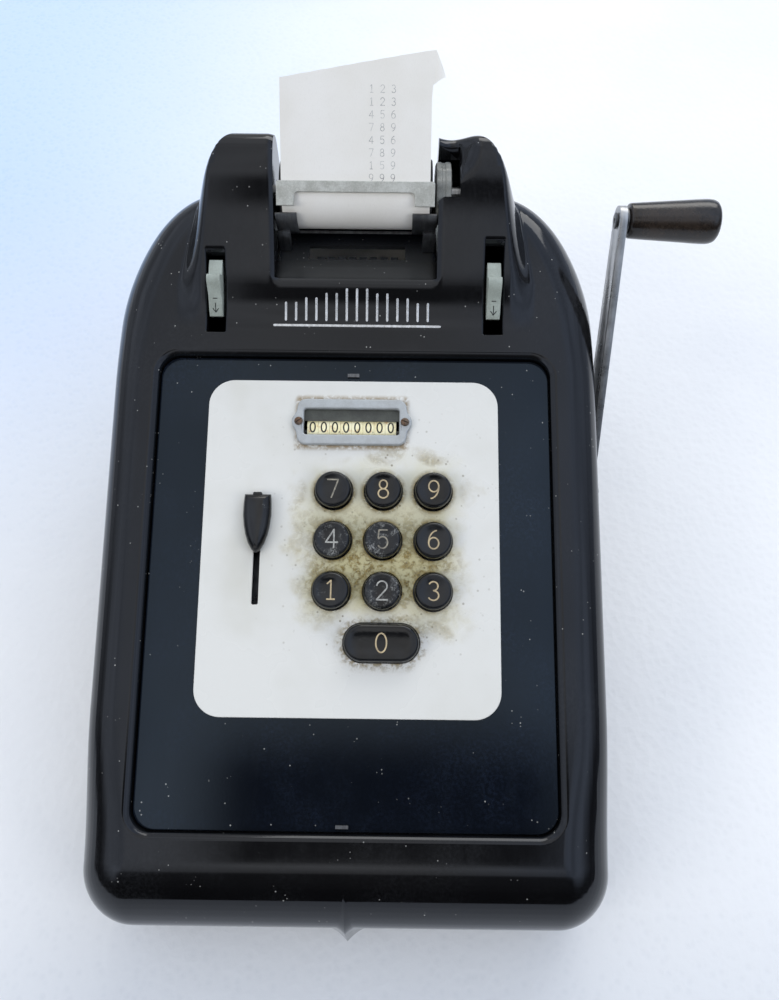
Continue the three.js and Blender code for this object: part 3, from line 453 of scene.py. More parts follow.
def slab(outer, holes, low, high, edge=0.25, steps=4):
    """A flat sheet with holes; the upper edges are rounded. Points are (a, b, height)."""
    loops = []
    for index, loop in enumerate([outer, *holes]):
        loop = np.asarray(loop, float)
        if (signed_area(loop) > 0) != (index == 0):
            loop = loop[::-1]
        loops.append(loop)
    levels = [(0.0, low), (0.0, high - edge)]
    for k in range(1, steps + 1):
        angle = math.pi / 2 * k / steps
        levels.append((edge * (1 - math.cos(angle)), high - edge * (1 - math.sin(angle))))
    if steps > 1:
        levels.append((edge + 0.06, high))  # keeps the shading of the flat top even
    walls = [loft([level(drawn_in(loop, d), z) for d, z in levels], False, False) for loop in loops]
    vertices, faces, _ = joined(walls)
    starts = np.cumsum([0] + [len(wall[0]) for wall in walls])
    for ring, flip in ((len(levels) - 1, False), (0, True)):
        rims = [[start + ring * len(loop) + i for i in range(len(loop))] for start, loop in zip(starts, loops)]
        cap = [i for rim in rims for i in rim]
        for triangle in tessellate_polygon([[Vector((*vertices[i][:2], 0)) for i in rim] for rim in rims]):
            a, b, c = (cap[i] for i in triangle)
            up = np.cross(vertices[b][:2] - vertices[a][:2], vertices[c][:2] - vertices[a][:2]) > 0
            faces.append((a, b, c) if up != flip else (a, c, b))
    return vertices, faces


def prism(outline, x0, x1):
    """An upright (y, z) outline swept along x."""
    outline = np.asarray(outline, float)
    if signed_area(outline) < 0:
        outline = outline[::-1]
    return loft([upright(outline, x) for x in (x0, x1)])


def block(x0, x1, y0, y1, z0, z1):
    ring = np.array([[x0, y0], [x1, y0], [x1, y1], [x0, y1]])
    return loft([level(ring, z) for z in (z0, z1)])


def turned(profile, axis, steps=64, caps=True):
    """A piece turned about an axis along x: the profile gives (radius, x) from end to end."""
    return loft([upright(circle(*axis, radius, steps), x) for radius, x in profile], caps, caps)


def round_axis(x, angles, radius, axis):
    """Points and normals at angles round an axis along x, for figures and marks on a drum."""
    out = np.stack([np.zeros(len(angles)), np.cos(angles), np.sin(angles)], 1)
    centres = np.column_stack([x, np.full((len(angles), 2), axis)])
    return centres + out * np.reshape(radius, (-1, 1)), out


def on_deck(part):
    return deck(part[0]), part[1]


def resampled(points, step):
    points = np.asarray(points, float)
    run = np.concatenate([[0], np.cumsum(np.linalg.norm(np.diff(points, axis=0), axis=1))])
    count = max(2, int(math.ceil(run[-1] / step)) + 1)
    t = np.linspace(0, run[-1], count)
    return np.stack([np.interp(t, run, points[:, k]) for k in range(points.shape[1])], 1)


def stroke(path, normals, width, rise):
    """A low raised line along a path on a surface."""
    path, normals = np.asarray(path, float), np.asarray(normals, float)
    closed = np.linalg.norm(path[0] - path[-1]) < 1e-6
    if closed:
        path, normals = path[:-1], normals[:-1]
        tangent = np.roll(path, -1, 0) - np.roll(path, 1, 0)
    else:
        tangent = np.gradient(path, axis=0)
    tangent = unit(tangent)
    side = unit(np.cross(normals, tangent))
    if not closed:
        beyond = tangent[[0, -1]] * width * 0.35
        path = np.concatenate([[path[0] - beyond[0]], path, [path[-1] + beyond[1]]])
        side = np.concatenate([[side[0] * 0.5], side, [side[-1] * 0.5]])
        normals = np.concatenate([[normals[0]], normals, [normals[-1]]])
    section = [(-0.5, -0.06), (-0.42, rise * 0.75), (-0.2, rise)]
    section += [(-a, b) for a, b in reversed(section)]
    rings = [[p + s * width * a + n * b for a, b in section] for p, s, n in zip(path, side, normals)]
    if closed:
        rings.append(rings[0])
    return loft(rings, not closed, not closed)


FIGURES = {
    0: [arc(0, 0, 0.29, 0.5, 90, 450, 30)],
    1: [[(-0.17, 0.33), (0.03, 0.5)], [(0.03, 0.5), (0.03, -0.5)], [(-0.18, -0.5), (0.24, -0.5)]],
    2: [arc(0, 0.22, 0.28, 0.28, 172, -28, 16) + [(-0.29, -0.5)], [(-0.29, -0.5), (0.31, -0.5)]],
    3: [arc(-0.01, 0.26, 0.25, 0.24, 150, -88, 14), arc(-0.01, -0.24, 0.29, 0.26, 88, -150, 14)],
    4: [[(0.13, -0.5), (0.13, 0.5)], [(0.13, 0.5), (-0.32, -0.2)], [(-0.32, -0.2), (0.34, -0.2)]],
    5: [[(0.25, 0.5), (-0.2, 0.5)], [(-0.2, 0.5), (-0.24, 0.06)], arc(0, -0.18, 0.28, 0.32, 140, -145, 18)],
    6: [arc(0.2, -0.16, 0.48, 0.66, 96, 180, 12), arc(0, -0.19, 0.28, 0.31, 0, 360, 24)],
    7: [[(-0.3, 0.5), (0.3, 0.5)], [(0.3, 0.5), (-0.07, -0.5)]],
    8: [arc(0, 0.26, 0.22, 0.24, 0, 360, 20), arc(0, -0.24, 0.28, 0.26, 0, 360, 24)],
}
FIGURES[9] = [[(-a, -b) for a, b in line] for line in FIGURES[6]]


def figure(digit, height, width, rise, put, aspect=1.0):
    """Strokes of a figure; put() turns (a, b) in millimetres into points and normals on the surface."""
    parts = []
    for line in FIGURES[digit]:
        flat = resampled(np.array(line) * (height * aspect, height), height / 14)
        points, normals = put(flat)
        parts.append(stroke(points, normals, width, rise))
    return parts


def joined(parts):
    """Parts as (vertices, faces[, material index]) in one mesh."""
    vertices, faces, kinds, start = [], [], [], 0
    for part in parts:
        vertices.append(np.asarray(part[0], float))
        faces.extend(tuple(i + start for i in face) for face in part[1])
        kinds.extend([part[2] if len(part) > 2 else 0] * len(part[1]))
        start += len(part[0])
    return np.concatenate(vertices), faces, kinds


def linked(name, data):
    made = bpy.data.objects.new(name, data)
    bpy.context.scene.collection.objects.link(made)
    return made


def raw_object(name, parts):
    vertices, faces, kinds = joined(parts)
    mesh = bpy.data.meshes.new(name)
    mesh.from_pydata(vertices.tolist(), [], faces)
    mesh.polygons.foreach_set("material_index", kinds)
    mesh.update()
    return linked(name, mesh)


def settle(made):
    """Applies the modifiers to the mesh."""
    evaluated = made.evaluated_get(bpy.context.evaluated_depsgraph_get())
    mesh = bpy.data.meshes.new_from_object(evaluated)
    made.modifiers.clear()
    made.data = mesh


def combine(made, others, operation):
    """Joins or cuts a mesh with others, given as objects or as (vertices, faces)."""
    others = [other if isinstance(other, bpy.types.Object) else raw_object("cut", [other]) for other in others]
    for other in others:
        modifier = made.modifiers.new("cut", "BOOLEAN")
        modifier.operation, modifier.solver, modifier.object = operation, "MANIFOLD", other
    settle(made)
    for other in others:
        bpy.data.objects.remove(other)
    return made


def rod(radius, x0, x1, axis, steps=40):
    return turned([(radius, x0), (radius, x1)], axis, steps)


def bored(made, *bore):
    return combine(made, [rod(*bore)], "DIFFERENCE")


def dress(made, looks, body, replaces, sharp, edge=0.0, steps=3):
    """Moves a mesh from millimetres to the row frame, gives it its materials and body, and hides the CAD parts
    it replaces.
    """
    made.data.transform(TO_FRAME)
    if len(looks) == 1:
        made.data.materials.clear()
    for look in looks:
        made.data.materials.append(LOOKS[look].material)
    if edge:
        modifier = made.modifiers.new("edges", "BEVEL")
        modifier.width, modifier.segments, modifier.limit_method = edge * MM, steps, "ANGLE"
        modifier.angle_limit, modifier.use_clamp_overlap = math.radians(32), True
        settle(made)
    made.data.shade_smooth()
    made.data.set_sharp_from_angle(angle=math.radians(sharp))
    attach(made, body)
    if replaces:
        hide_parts(*replaces)
    return made


def piece(name, parts, looks, body="base", replaces=(), sharp=35, edge=0.0, steps=3):
    return dress(raw_object(name, parts), looks, body, replaces, sharp, edge, steps)


# ---------- housing ----------
def smooth(t):
    u = np.clip(t, 0, 1)
    return u * u * (3 - 2 * u)


def half_width(y, inset=0.0):
    front, rear = FRONT_Y + FRONT_CORNER, REAR_Y - REAR_ALONG
    radius = FRONT_CORNER - inset
    nose = HALF_WIDTH - FRONT_CORNER + radius * np.sqrt(np.clip(1 - ((front - y) / radius) ** 2, 0, 1))
    tail = (y - rear) / (REAR_ALONG - inset)
    heel = HALF_WIDTH - REAR_ACROSS + (REAR_ACROSS - inset) * np.sqrt(np.clip(1 - tail**2, 0, 1))
    return np.where(y < front, nose, np.where(y > rear, heel, HALF_WIDTH - inset))


def edge_distance(x, y):
    a = np.abs(x)
    plain = np.minimum(np.minimum(HALF_WIDTH - a, y - FRONT_Y), REAR_Y - y)
    fx, fy = a - (HALF_WIDTH - FRONT_CORNER), FRONT_Y + FRONT_CORNER - y
    u, v = (a - HALF_WIDTH + REAR_ACROSS) / REAR_ACROSS, (y - REAR_Y + REAR_ALONG) / REAR_ALONG
    reach = np.hypot(u, v) + 1e-9
    slope = np.hypot(u / REAR_ACROSS, v / REAR_ALONG) / reach + 1e-9
    rear = np.where((u > 0) & (v > 0), (1 - reach) / slope, plain)
    return np.where((fx > 0) & (fy > 0), FRONT_CORNER - np.hypot(fx, fy), rear)


def hood_share(x, y):
    flank = HOOD_HALF - 0.16 * np.maximum(0, y - 98) - 9 * (np.maximum(0, y - 126) / 19) ** 2
    return smooth((y - HOOD_START) / HOOD_RUN) * (1 - smooth((np.abs(x) - flank + 5.5) / 10.5))


def hood_dip(x, y):
    """The dip into the paper channel, and the hollow beside the feed knob."""
    roll_in = np.minimum(1.3, 0.09 * np.maximum(0, y - 93) ** 2) * (1 - smooth((np.abs(x) - 29.5) / 5))
    return np.maximum(roll_in, 5.5 * (1 - smooth(np.hypot((x - 37) / 11.5, (y - 135.5) / 13))))


def top_height(x, y, inset=0.0):
    crown = DECK_Z + y * math.tan(TILT) + CROWN_RISE / math.cos(TILT)
    share = hood_share(x, y)
    radius = 13 + 7 * (1 - smooth((y + 110) / 50)) + (7 - 9 * share) * smooth((y - 60) / 60)
    inside = np.maximum(0, edge_distance(x, y) - inset)
    bend = np.maximum(0, radius - inset)
    gap = np.maximum(0, bend - inside)
    drop = bend - np.sqrt(np.maximum(0, bend**2 - gap**2))
    return crown + HOOD_RISE * share - hood_dip(x, y) - drop - inset


def outside(x, y, x0, x1, y0, y1, r):
    """Signed distance from a rounded rectangle, positive outside it."""
    dx = np.abs(x - (x0 + x1) / 2) - (x1 - x0) / 2 + r
    dy = np.abs(y - (y0 + y1) / 2) - (y1 - y0) / 2 + r
    return np.hypot(np.maximum(dx, 0), np.maximum(dy, 0)) + np.minimum(np.maximum(dx, dy), 0) - r


def softened(x, y, z):
    """Rounds the edges that the openings will cut in the top."""
    s = y * math.cos(TILT) + (z - DECK_Z) * math.sin(TILT)
    rim = outside(x, s, *wider(PANEL, 0.3), 8)
    z = z - 1.1 * np.clip(1 - rim / 2.0, 0, 1) ** 1.5
    pocket = 0.8 * np.clip(1 - outside(x, y, *KNOB_POCKET, 1) / 1.2, 0, 1) ** 2
    slots = np.minimum(*(outside(x, y, *slot, 0.4) for slot in LEVER_SLOTS))
    return z - np.maximum(pocket, 0.5 * np.clip(1 - slots / 0.7, 0, 1) ** 2)


def lines(low, high, step, marks, near, ends):
    """Grid lines: even steps, closer near the marks and towards the ends."""
    values = set(np.arange(low, high, step)) | {low, high}
    for mark in marks:
        values |= {mark + d * sign for d in near for sign in (1, -1)} | {mark}
    for end, sign in ((low, 1), (high, -1)):
        values |= {end + sign * d for d in ends}
    ordered = [v for v in sorted(values) if low <= v <= high]
    kept = [ordered[0]]
    for v in ordered[1:-1]:
        if v - kept[-1] > 0.045:
            kept.append(v)
    return np.array([v for v in kept if high - v > 0.02] + [high])


ROLL_OVER = (0.03, 0.12, 0.3, 0.6, 1.0, 1.5, 2.2, 3, 4, 5.2, 6.6, 8.2, 10, 12, 14, 16.5, 19)


def moulded(across, along, inset, floor, finish=None):
    """The moulded form: a top surface over the plan outline, with upright sides down to a floor."""
    y = np.repeat(along[:, None], 2 * len(across) - 1, 1)
    unit = np.concatenate([-across[:0:-1], across])
    limit, half = 72.0, half_width(y, inset)
    squeeze = np.minimum(1, (half - 3) / limit)
    spread = limit * squeeze + (np.abs(unit) - limit) * (half - limit * squeeze) / (HALF_WIDTH - limit)
    x = np.where(np.abs(unit) <= limit, unit * squeeze, np.sign(unit) * spread)
    x = np.where(y < FRONT_Y + FRONT_CORNER, unit * half / HALF_WIDTH, x)
    z = top_height(x, y, inset)
    if finish:
        z = finish(x, y, z)
    rows, count = x.shape
    top = np.stack([x, y, z], 2).reshape(-1, 3)
    index = np.arange(rows * count).reshape(rows, count)
    quads = np.stack([index[:-1, :-1], index[:-1, 1:], index[1:, 1:], index[1:, :-1]], 2).reshape(-1, 4)
    rim = np.concatenate([index[0], index[1:, -1], index[-1, -2::-1], index[-2:0:-1, 0]])
    foot = top[rim].copy()
    foot[:, 2] = floor
    base = len(top)
    faces = quads.tolist()
    for k in range(len(rim)):
        n = (k + 1) % len(rim)
        faces.append((base + k, base + n, int(rim[n]), int(rim[k])))
    faces.append(tuple(range(base + len(rim) - 1, base - 1, -1)))
    return np.concatenate([top, foot]), faces


def prow():
    """The pointed crease down the middle of the front."""
    rings = []
    run = np.linspace(FRONT_Y, FRONT_Y + 25, 4000)
    heights = top_height(np.zeros(4000), run)
    for z in np.concatenate([[FLOOR_Z, 16, 22, 26, 30], np.linspace(33, 56, 32)]):
        front = float(np.interp(z, heights, run))
        grown = 1 - (z - FLOOR_Z) / 46
        reach, half = 0.1 + 4.7 * grown, 1.4 + 8.1 * grown
        ring = [(a * half, front + 0.3 - (reach + 0.3) * (1 - abs(a)) ** 2, z) for a in np.arange(-12, 13) / 12]
        rings.append([*ring, (half, front + 3.5, z), (-half, front + 3.5, z)])
    return loft(rings)


def housing():
    near = (0.12, 0.3, 0.55, 0.9, 1.3, 1.8, 2.4)
    corners_x = list(np.arange(56, 70, 0.7)) + list(np.arange(69, 77, 0.6))
    across = lines(0, HALF_WIDTH, 1.5, [32, 40.2, 50.7, 51.3, 58.1, 58.6, 76.7], near, ())
    across = np.unique(np.round(np.concatenate([across, corners_x, HALF_WIDTH - np.array(ROLL_OVER)]), 3))
    across = np.array([0.0] + [b for a, b in zip(across, across[1:]) if b - a > 0.045])
    marks = [77.9, 104.4, 107.9, 96.5, 100, 124.5, 139, -101.3, 68.9]
    marks += list(np.arange(-101, -93, 0.7)) + list(np.arange(61, 69, 0.7))
    along = lines(FRONT_Y, REAR_Y, 1.7, marks, near, ROLL_OVER)
    shell = raw_object("housing_shell", [moulded(across, along, 0, FLOOR_Z, softened)])
    combine(shell, [prow()], "UNION")

    wide = np.array([0, 20, 28, 33, 38, 44, 50, 56, 60, 64, 68, 72, 78, 84, 88, 91, 93.5, 95.2, 96.1, 96.5])
    stations = [-126, -125.7, -124.5, -122, -118, -112, -104, -80, -40, 0, 40, 60, 78, 90, 102, 114, 126]
    stations = np.array([*stations, 134, 138, 140.4, 141])
    cavity = raw_object("cavity", [moulded(wide, stations, WALL, FLOOR_Z - 5)])
    ledge = slab(rounded(*wider(PANEL, 4), 11), [], -6.1, 0.5, 0.01, 1)
    lip = [(92.5, 121), (108, 122.6), (108, 126.4), (104, 128.2), (99.5, 129.9), (97.4, 131.2)]
    lip += [(95.5, 134), (92.5, 134)]
    walls = [
        on_deck(ledge),
        block(-35.5, -32, 93, 144.9, 112, 175),
        block(32, 35.5, 93, 144.9, 112, 175),
        block(31.9, 43.2, 113, 144.9, 124, 175),
        prism(lip, -35.4, 35.4),
    ]
    combine(cavity, walls, "DIFFERENCE")

    opening = rounded(*wider(PANEL, 0.3), 8, 14)
    through = rounded(*wider(PANEL, -5), 5)
    channel = [(CHANNEL_FRONT, 128.62), (98, 128.25), (100, 127.8), (102, 127.35), (104, 126.95)]
    channel += [(108.1, 126.4), (108.1, 115), (CHANNEL_REAR, 115), (CHANNEL_REAR, 128), (150, 128)]
    channel += [(150, 180), (CHANNEL_FRONT, 180)]
    y, z = PLATEN_AXIS
    notch = [(y - 3.6, z - 3.6), (y + 3.6, z - 3.6), (y + 3.6, z + 3.6), (y - 3.6, z + 3.6)]
    cuts = [
        on_deck(slab(opening, [], -3.1, 30, 0.01, 1)),
        on_deck(slab(through, [], -20, 30, 0.01, 1)),
        prism(channel, -CHANNEL_HALF, CHANNEL_HALF),
        block(*KNOB_POCKET, 130, 180),
        rod(12.8, 31, 40.2, PLATEN_AXIS, 72),
        prism(notch, -37, -31),
        prism(notch, 38, 43.6),
        *(block(*slot, 100, 160) for slot in LEVER_SLOTS),
        rod(6.2, 85, 105, CRANK_AXIS, 48),
    ]
    combine(shell, [cavity, *cuts], "DIFFERENCE")
    dress(shell, ["bakelite"], "base", ["housing"], 38)


housing()


# ---------- ornament on the hood front ----------
def on_housing(flat):
    """Points on the housing's top for x and the run up its slope, with their normals."""
    x, y = flat[:, 0], flat[:, 1]
    step = 0.5
    z = top_height(x, y)
    dx = (top_height(x + step, y) - top_height(x - step, y)) / (2 * step)
    dy = (top_height(x, y + step) - top_height(x, y - step)) / (2 * step)
    return np.stack([x, y, z], 1), unit(np.stack([-dx, -dy, np.ones_like(dx)], 1))


def ornament():
    """A plain silver line with a stepped fan of upright bars on it."""
    parts = [stroke(*on_housing(resampled([(-32.0, 80.4), (33.4, 80.4)], 1)), 1.05, 0.12)]
    for k in range(-7, 8):
        height = 10.4 - 1.5 * (abs(k) // 2)
        x = 0.6 + 4.0 * k
        parts.append(stroke(*on_housing(resampled([(x, 82.4), (x, 82.4 + height)], 1)), 1.0, 0.12))
    piece("hood_ornament", parts, ["silver"])


ornament()


# ---------- keyboard panel and face plate ----------
KEYS = [(d, KEY_COLUMN + ((d - 1) % 3 - 1) * KEY_PITCH, ((d - 1) // 3 - 1) * KEY_PITCH) for d in range(1, 10)]


def deck_holes():
    holes = [circle(x, s, KEY_RADIUS + 0.5, 56) for _, x, s in KEYS]
    holes.append(stadium(KEY_COLUMN, ZERO_S, ZERO_HALF, ZERO_RADIUS + 0.5))
    holes.append(rounded(COUNTER_X - 18.9, COUNTER_X + 18.7, COUNTER_S - 8, COUNTER_S + 6.6, 0.5, 3))
    holes += [circle(COUNTER_X + side * SCREW_REACH, COUNTER_S, 1, 12) for side in (-1, 1)]
    holes.append(rounded(CORRECTION_X - 1.3, CORRECTION_X + 1.2, -24.5, 16.6, 0.6, 4))
    return holes


panel = slab(rounded(*PANEL, 7.7, 12), deck_holes(), -2.85, -1.25, 0.3)
piece("keyboard_panel", [on_deck(panel)], ["enamel"], replaces=["key_panel"])
plate = slab(rounded(*PLATE, 10, 14), deck_holes(), -1, 0, 0.28)
piece("enamel_plate", [on_deck(plate)], ["plate"], replaces=["face_plate"])


# ---------- keys ----------
# heights and insets of a key's rings: its skirt, its rounded edge, and the dish in its top
SKIRT = [(-8, 0.3), (3.4, 0), (4.3, 0.1), (4.9, 0.35), (5.3, 0.75)]
DISH = [(5.5, 1.2), (5.46, 1.5), (5.3, 2.1), (5.12, 3.4), (4.98, 5.2)]


def key_cap(digit, x, s, half=0.0, radius=KEY_RADIUS):
    """A round key, or with half its straight length a long one."""

    def ring_at(inset):
        return stadium(x, s, half, radius - inset) if half else circle(x, s, radius - inset, 56)

    rings = [level(ring_at(inset), n) for n, inset in SKIRT + DISH]
    stem = block(x - 3, x + 3, s - 0.8, s + 0.8, -30, -7.9)

    def put(flat):
        a, b = flat[:, 0] + x, flat[:, 1] + s
        inset = radius - np.hypot(np.maximum(np.abs(a - x) - half, 0), b - s)
        height = np.interp(inset, [c[1] for c in DISH], [c[0] for c in DISH])
        return deck(np.column_stack([a, b, height])), np.tile(DECK_UP, (len(flat), 1))

    ink = {7: "faded", 4: "pale", 2: "pale", 5: "faded"}.get(digit, "cream")
    marks = [(*m, 1) for m in figure(digit, 6.9, 0.62, 0.05, put, 0.98)]
    look = "key_worn" if digit in (4, 2, 5) else "key"
    parts = [on_deck(loft(rings)), on_deck(stem), *marks]
    piece(f"key_cap_{digit}", parts, [look, ink], f"key_{digit}_body", [f"key_{digit}"], 50)


for key in KEYS:
    key_cap(*key)
key_cap(0, KEY_COLUMN, ZERO_S, ZERO_HALF, ZERO_RADIUS)


# ---------- correction lever ----------
def correction():
    def outline(grow):
        side = [(5.0, 17), (5.3, 13), (5.35, 9), (4.9, 5), (4.2, 1.6), (3.1, -1.6), (1.7, -4.1)]
        right = [(CORRECTION_X + a + grow, b + (grow if b == 17 else 0)) for a, b in reversed(side)]
        left = [(CORRECTION_X - a - grow, b + (grow if b == 17 else 0)) for a, b in side]
        return [(CORRECTION_X, -5.5 - grow), *right, *left]

    levels = [(0.4, -0.5), (1.2, -0.1), (2.4, 0), (3.2, -0.2), (3.9, -0.6), (4.5, -1.2)]
    levels += [(4.95, -1.95), (5.25, -2.9)]
    rings = [level(outline(grow), n) for n, grow in levels]
    stem = block(CORRECTION_X - 0.95, CORRECTION_X + 0.85, 2, 14, -14, 1)
    top = rounded(CORRECTION_X - 1.7, CORRECTION_X + 1.7, 16.2, 17.7, 0.5, 4)
    tab = loft([level(top, n) for n in (0.5, 3.2, 3.6)])
    made = [on_deck(loft(rings)), on_deck(stem), on_deck(tab)]
    piece("correction_knob", made, ["key"], "correction", ["correction_lever"], 48, 0.2)


correction()


# ---------- totals counter ----------
def bezel():
    ear = [(21.35, -5.2), (21.6, -4.0), (22.2, -2.9), (22.9, -1.9), (23.25, -1.0), (23.35, 0)]
    right = arc(17.7, -5.6, 3.6, 3.6, -90, 0, 8) + ear + [(a, -b) for a, b in reversed(ear[:-1])]
    right += arc(17.7, 5.6, 3.6, 3.6, 0, 90, 8)
    outline = np.array([(COUNTER_X + a, COUNTER_S + b) for a, b in right + [(-a, -b) for a, b in right]])
    window = rounded(COUNTER_X - 18.6, COUNTER_X + 18.4, COUNTER_S - 5.1, COUNTER_S + 5.2, 1.0, 6)
    holes = [circle(COUNTER_X + side * SCREW_REACH, COUNTER_S, 1, 16) for side in (-1, 1)]
    body = slab(outline, [window, *holes], 0.2, 1.9, 0.7, 6)
    piece("counter_frame", [on_deck(body)], ["bezel"], replaces=["counter_bezel"])
    for side, x, turn in (("left", COUNTER_X - SCREW_REACH, 35), ("right", COUNTER_X + SCREW_REACH, -20)):
        screw = [(0.7, -6), (0.7, 1.9), (1.6, 1.9), (1.62, 2.2), (1.5, 2.6), (1.1, 2.85), (0.5, 2.95)]
        screw = loft([level(circle(x, COUNTER_S, radius, 32), n) for radius, n in screw])
        made = raw_object(f"counter_screw_{side}", [on_deck(screw)])
        direction = np.array([math.cos(math.radians(turn)), math.sin(math.radians(turn))])
        along, aside = 2.5 * direction, 0.2 * np.array([-direction[1], direction[0]])
        corners = np.array([-along - aside, along - aside, along + aside, aside - along]) + (x, COUNTER_S)
        nick = loft([level(corners, n) for n in (2.35, 4)])
        combine(made, [on_deck(nick)], "DIFFERENCE")
        dress(made, ["rusty"], "base", [f"bezel_screw_{side}"], 35)


bezel()


# the comma and the point after two of the figures
POINTS = {2: [(1.74, -1.6), (1.62, -2.2)], 5: [(1.72, -1.7), (1.72, -1.95)]}


def wheel(index):
    middle = COUNTER_X - 0.1 + (index - (WHEELS - 1) / 2) * WHEEL_PITCH
    (_, y, z), = deck([(0, WHEEL_S, WHEEL_N)])
    rim = [(1.7, middle - 1.4), (6.6, middle - 1.6), (7.9, middle - 2.14), (WHEEL_RADIUS, middle - 2.08)]
    rim += [(WHEEL_RADIUS, middle + 2.08), (7.9, middle + 2.14), (6.6, middle + 1.6), (1.7, middle + 1.4)]
    rim.append(rim[0])
    parts = [turned(rim, (y, z), 90, False)]

    def put_at(turn):
        def put(flat):
            angles = math.pi / 2 + TILT - flat[:, 1] / WHEEL_RADIUS + turn
            return round_axis(flat[:, 0] + middle, angles, WHEEL_RADIUS, (y, z))

        return put

    for digit in range(10):
        put = put_at(2 * math.pi * digit / 10)
        parts += [(*m, 1) for m in figure(digit, 3.9, 0.62, 0.03, put, 0.86)]
        if index in POINTS:
            parts.append((*stroke(*put(resampled(POINTS[index], 0.1)), 0.34, 0.03), 1))
    name, body, node = f"counter_drum_{index + 1}", f"wheel_{index + 1}_body", f"number_wheel_{index + 1}"
    piece(name, parts, ["wheel", "ink"], body, [node], 40)


for index in range(WHEELS):
    wheel(index)


# ---------- rocking levers ----------
def rocker(name, body, node, x0, x1):
    y, z = LEVER_AXIS

    def at(radius, degrees):
        angle = LEVER_REST + math.radians(degrees)
        return y + radius * math.cos(angle), z + radius * math.sin(angle)

    crest = [(-21, 30.6), (-15, 30.8), (-9.2, 30.8), (-8.4, 32.6), (-8.0, 34.0), (-7, 34.6), (-5, 34.7)]
    crest += [(-2.6, 34.2), (0, 33.1), (3, 31.9), (6.5, 31.1), (11, 30.8), (16, 30.8)]
    crest += [(20.6, 30.5), (21.6, 29.6)]
    outline = [at(r, d) for d, r in crest] + [at(25, 21), at(23, 9)]
    outline += [at(5.5, d) for d in range(50, 311, 26)] + [at(23, -9), at(25, -21)]
    made = raw_object(name, [prism(outline, x0, x1)])
    bored(made, 2.8, x0 - 1, x1 + 1, LEVER_AXIS)
    dress(made, ["lever"], body, [node], 40, 0.5)
    middle = (x0 + x1) / 2

    def put(flat):
        d = flat[:, 1]
        r = np.interp(d, [c[0] for c in crest], [c[1] for c in crest])
        return round_axis(middle + flat[:, 0], LEVER_REST + np.radians(d), r, LEVER_AXIS)

    arrow = [[(0, 11), (0, 17)], [(-1.1, 14.8), (0, 17.6)], [(1.1, 14.8), (0, 17.6)]]
    marks = [*arrow, [(-0.8, 7.6), (0.8, 7.6)]]
    parts = [stroke(*put(resampled(m, 0.5)), 0.38, 0.03) for m in marks]
    piece(f"{name}_mark", parts, ["ink"], body)


rocker("repeat_rocker", "repeat", "repeat_lever", -57.5, -52.3)
rocker("total_rocker", "total", "total_lever", 51.7, 57.0)


# ---------- platen, paper and tear bar ----------
LEAVE = math.pi / 2 + PAPER_RISE
PAPER_UP = np.array([0, -math.sin(PAPER_RISE), math.cos(PAPER_RISE)])


def paper_point(along, above):
    r = PLATEN_RADIUS + PAPER_GAP
    y = PLATEN_AXIS[0] + r * math.cos(LEAVE) + along * math.cos(PAPER_RISE)
    z = PLATEN_AXIS[1] + r * math.sin(LEAVE) + along * math.sin(PAPER_RISE)
    return y - above * math.sin(PAPER_RISE), z + above * math.cos(PAPER_RISE)


def paper_bow(u, along):
    return -0.0016 * np.maximum(0, along - 12) ** 2 * (0.6 + 0.4 * u)


def flare(along):
    """How far the right edge spreads near the torn end."""
    return 1.4 * smooth((along - 30) / 19)


def paper():
    roll_side, bottom = ROLL_AXIS[0] + ROLL_RADIUS + PAPER_GAP, PLATEN_AXIS[1] - PLATEN_RADIUS - PAPER_GAP
    turn = 3.2
    hidden = [(roll_side, z) for z in np.linspace(ROLL_AXIS[1], bottom - turn, 12)]
    hidden += arc(roll_side - turn, bottom - turn, turn, turn, 8, 90, 8)
    r = PLATEN_RADIUS + PAPER_GAP
    hidden += arc(*PLATEN_AXIS, r, r, 268, math.degrees(LEAVE), 60)
    run = 70
    u = np.linspace(-1, 1, 61)
    rows = [np.column_stack([u * PAPER_HALF, np.full((len(u), 2), p)]) for p in hidden]
    end = 38.7 + 10.4 * (u + 1) / 2 + 0.05 * np.sin(u * 23)
    for k in range(1, run + 1):
        along = end * k / run
        x = u * PAPER_HALF + np.clip(u, 0, 1) ** 6 * flare(along)
        points = [paper_point(a, b) for a, b in zip(along, paper_bow(u, along))]
        rows.append(np.column_stack([x, points]))
    # the torn corner, folded back along a short crease
    crease = np.linspace(end[-1], 36.8, 16)
    edge = PAPER_HALF + flare(crease)
    flap = []
    for share in np.linspace(0, 0.97, 12):
        x = edge + (33.8 - edge) * share
        along = crease + (40.0 - crease) * share
        lift = paper_bow(1, crease) + 0.9 * math.sin(math.pi * share) - 1.4 * share
        flap.append(np.column_stack([x, [paper_point(a, b) for a, b in zip(along, lift)]]))
    made = raw_object("tally_strip", [loft(rows, False, False, False), loft(flap, False, False, False)])
    modifier = made.modifiers.new("thickness", "SOLIDIFY")
    modifier.thickness, modifier.offset = 0.14, 0.0
    settle(made)
    dress(made, ["paper"], "base", ["paper_strip"], 60)

    def put_at(x, along):
        def put(flat):
            a = along + flat[:, 1]
            bow = paper_bow((x + flat[:, 0]) / PAPER_HALF, a)
            points = [paper_point(p, q + 0.08) for p, q in zip(a, bow)]
            return np.column_stack([x + flat[:, 0], points]), np.tile(PAPER_UP, (len(flat), 1))

        return put

    parts = []
    for row, number in enumerate(("999", "159", "789", "456", "789", "456", "123", "123")):
        for column, digit in enumerate(number):
            parts += figure(int(digit), 2.7, 0.24, 0.012, put_at(5.9 + 4.15 * column, 3.7 + 4.5 * row), 0.95)
    piece("tally_print", parts, ["print"])


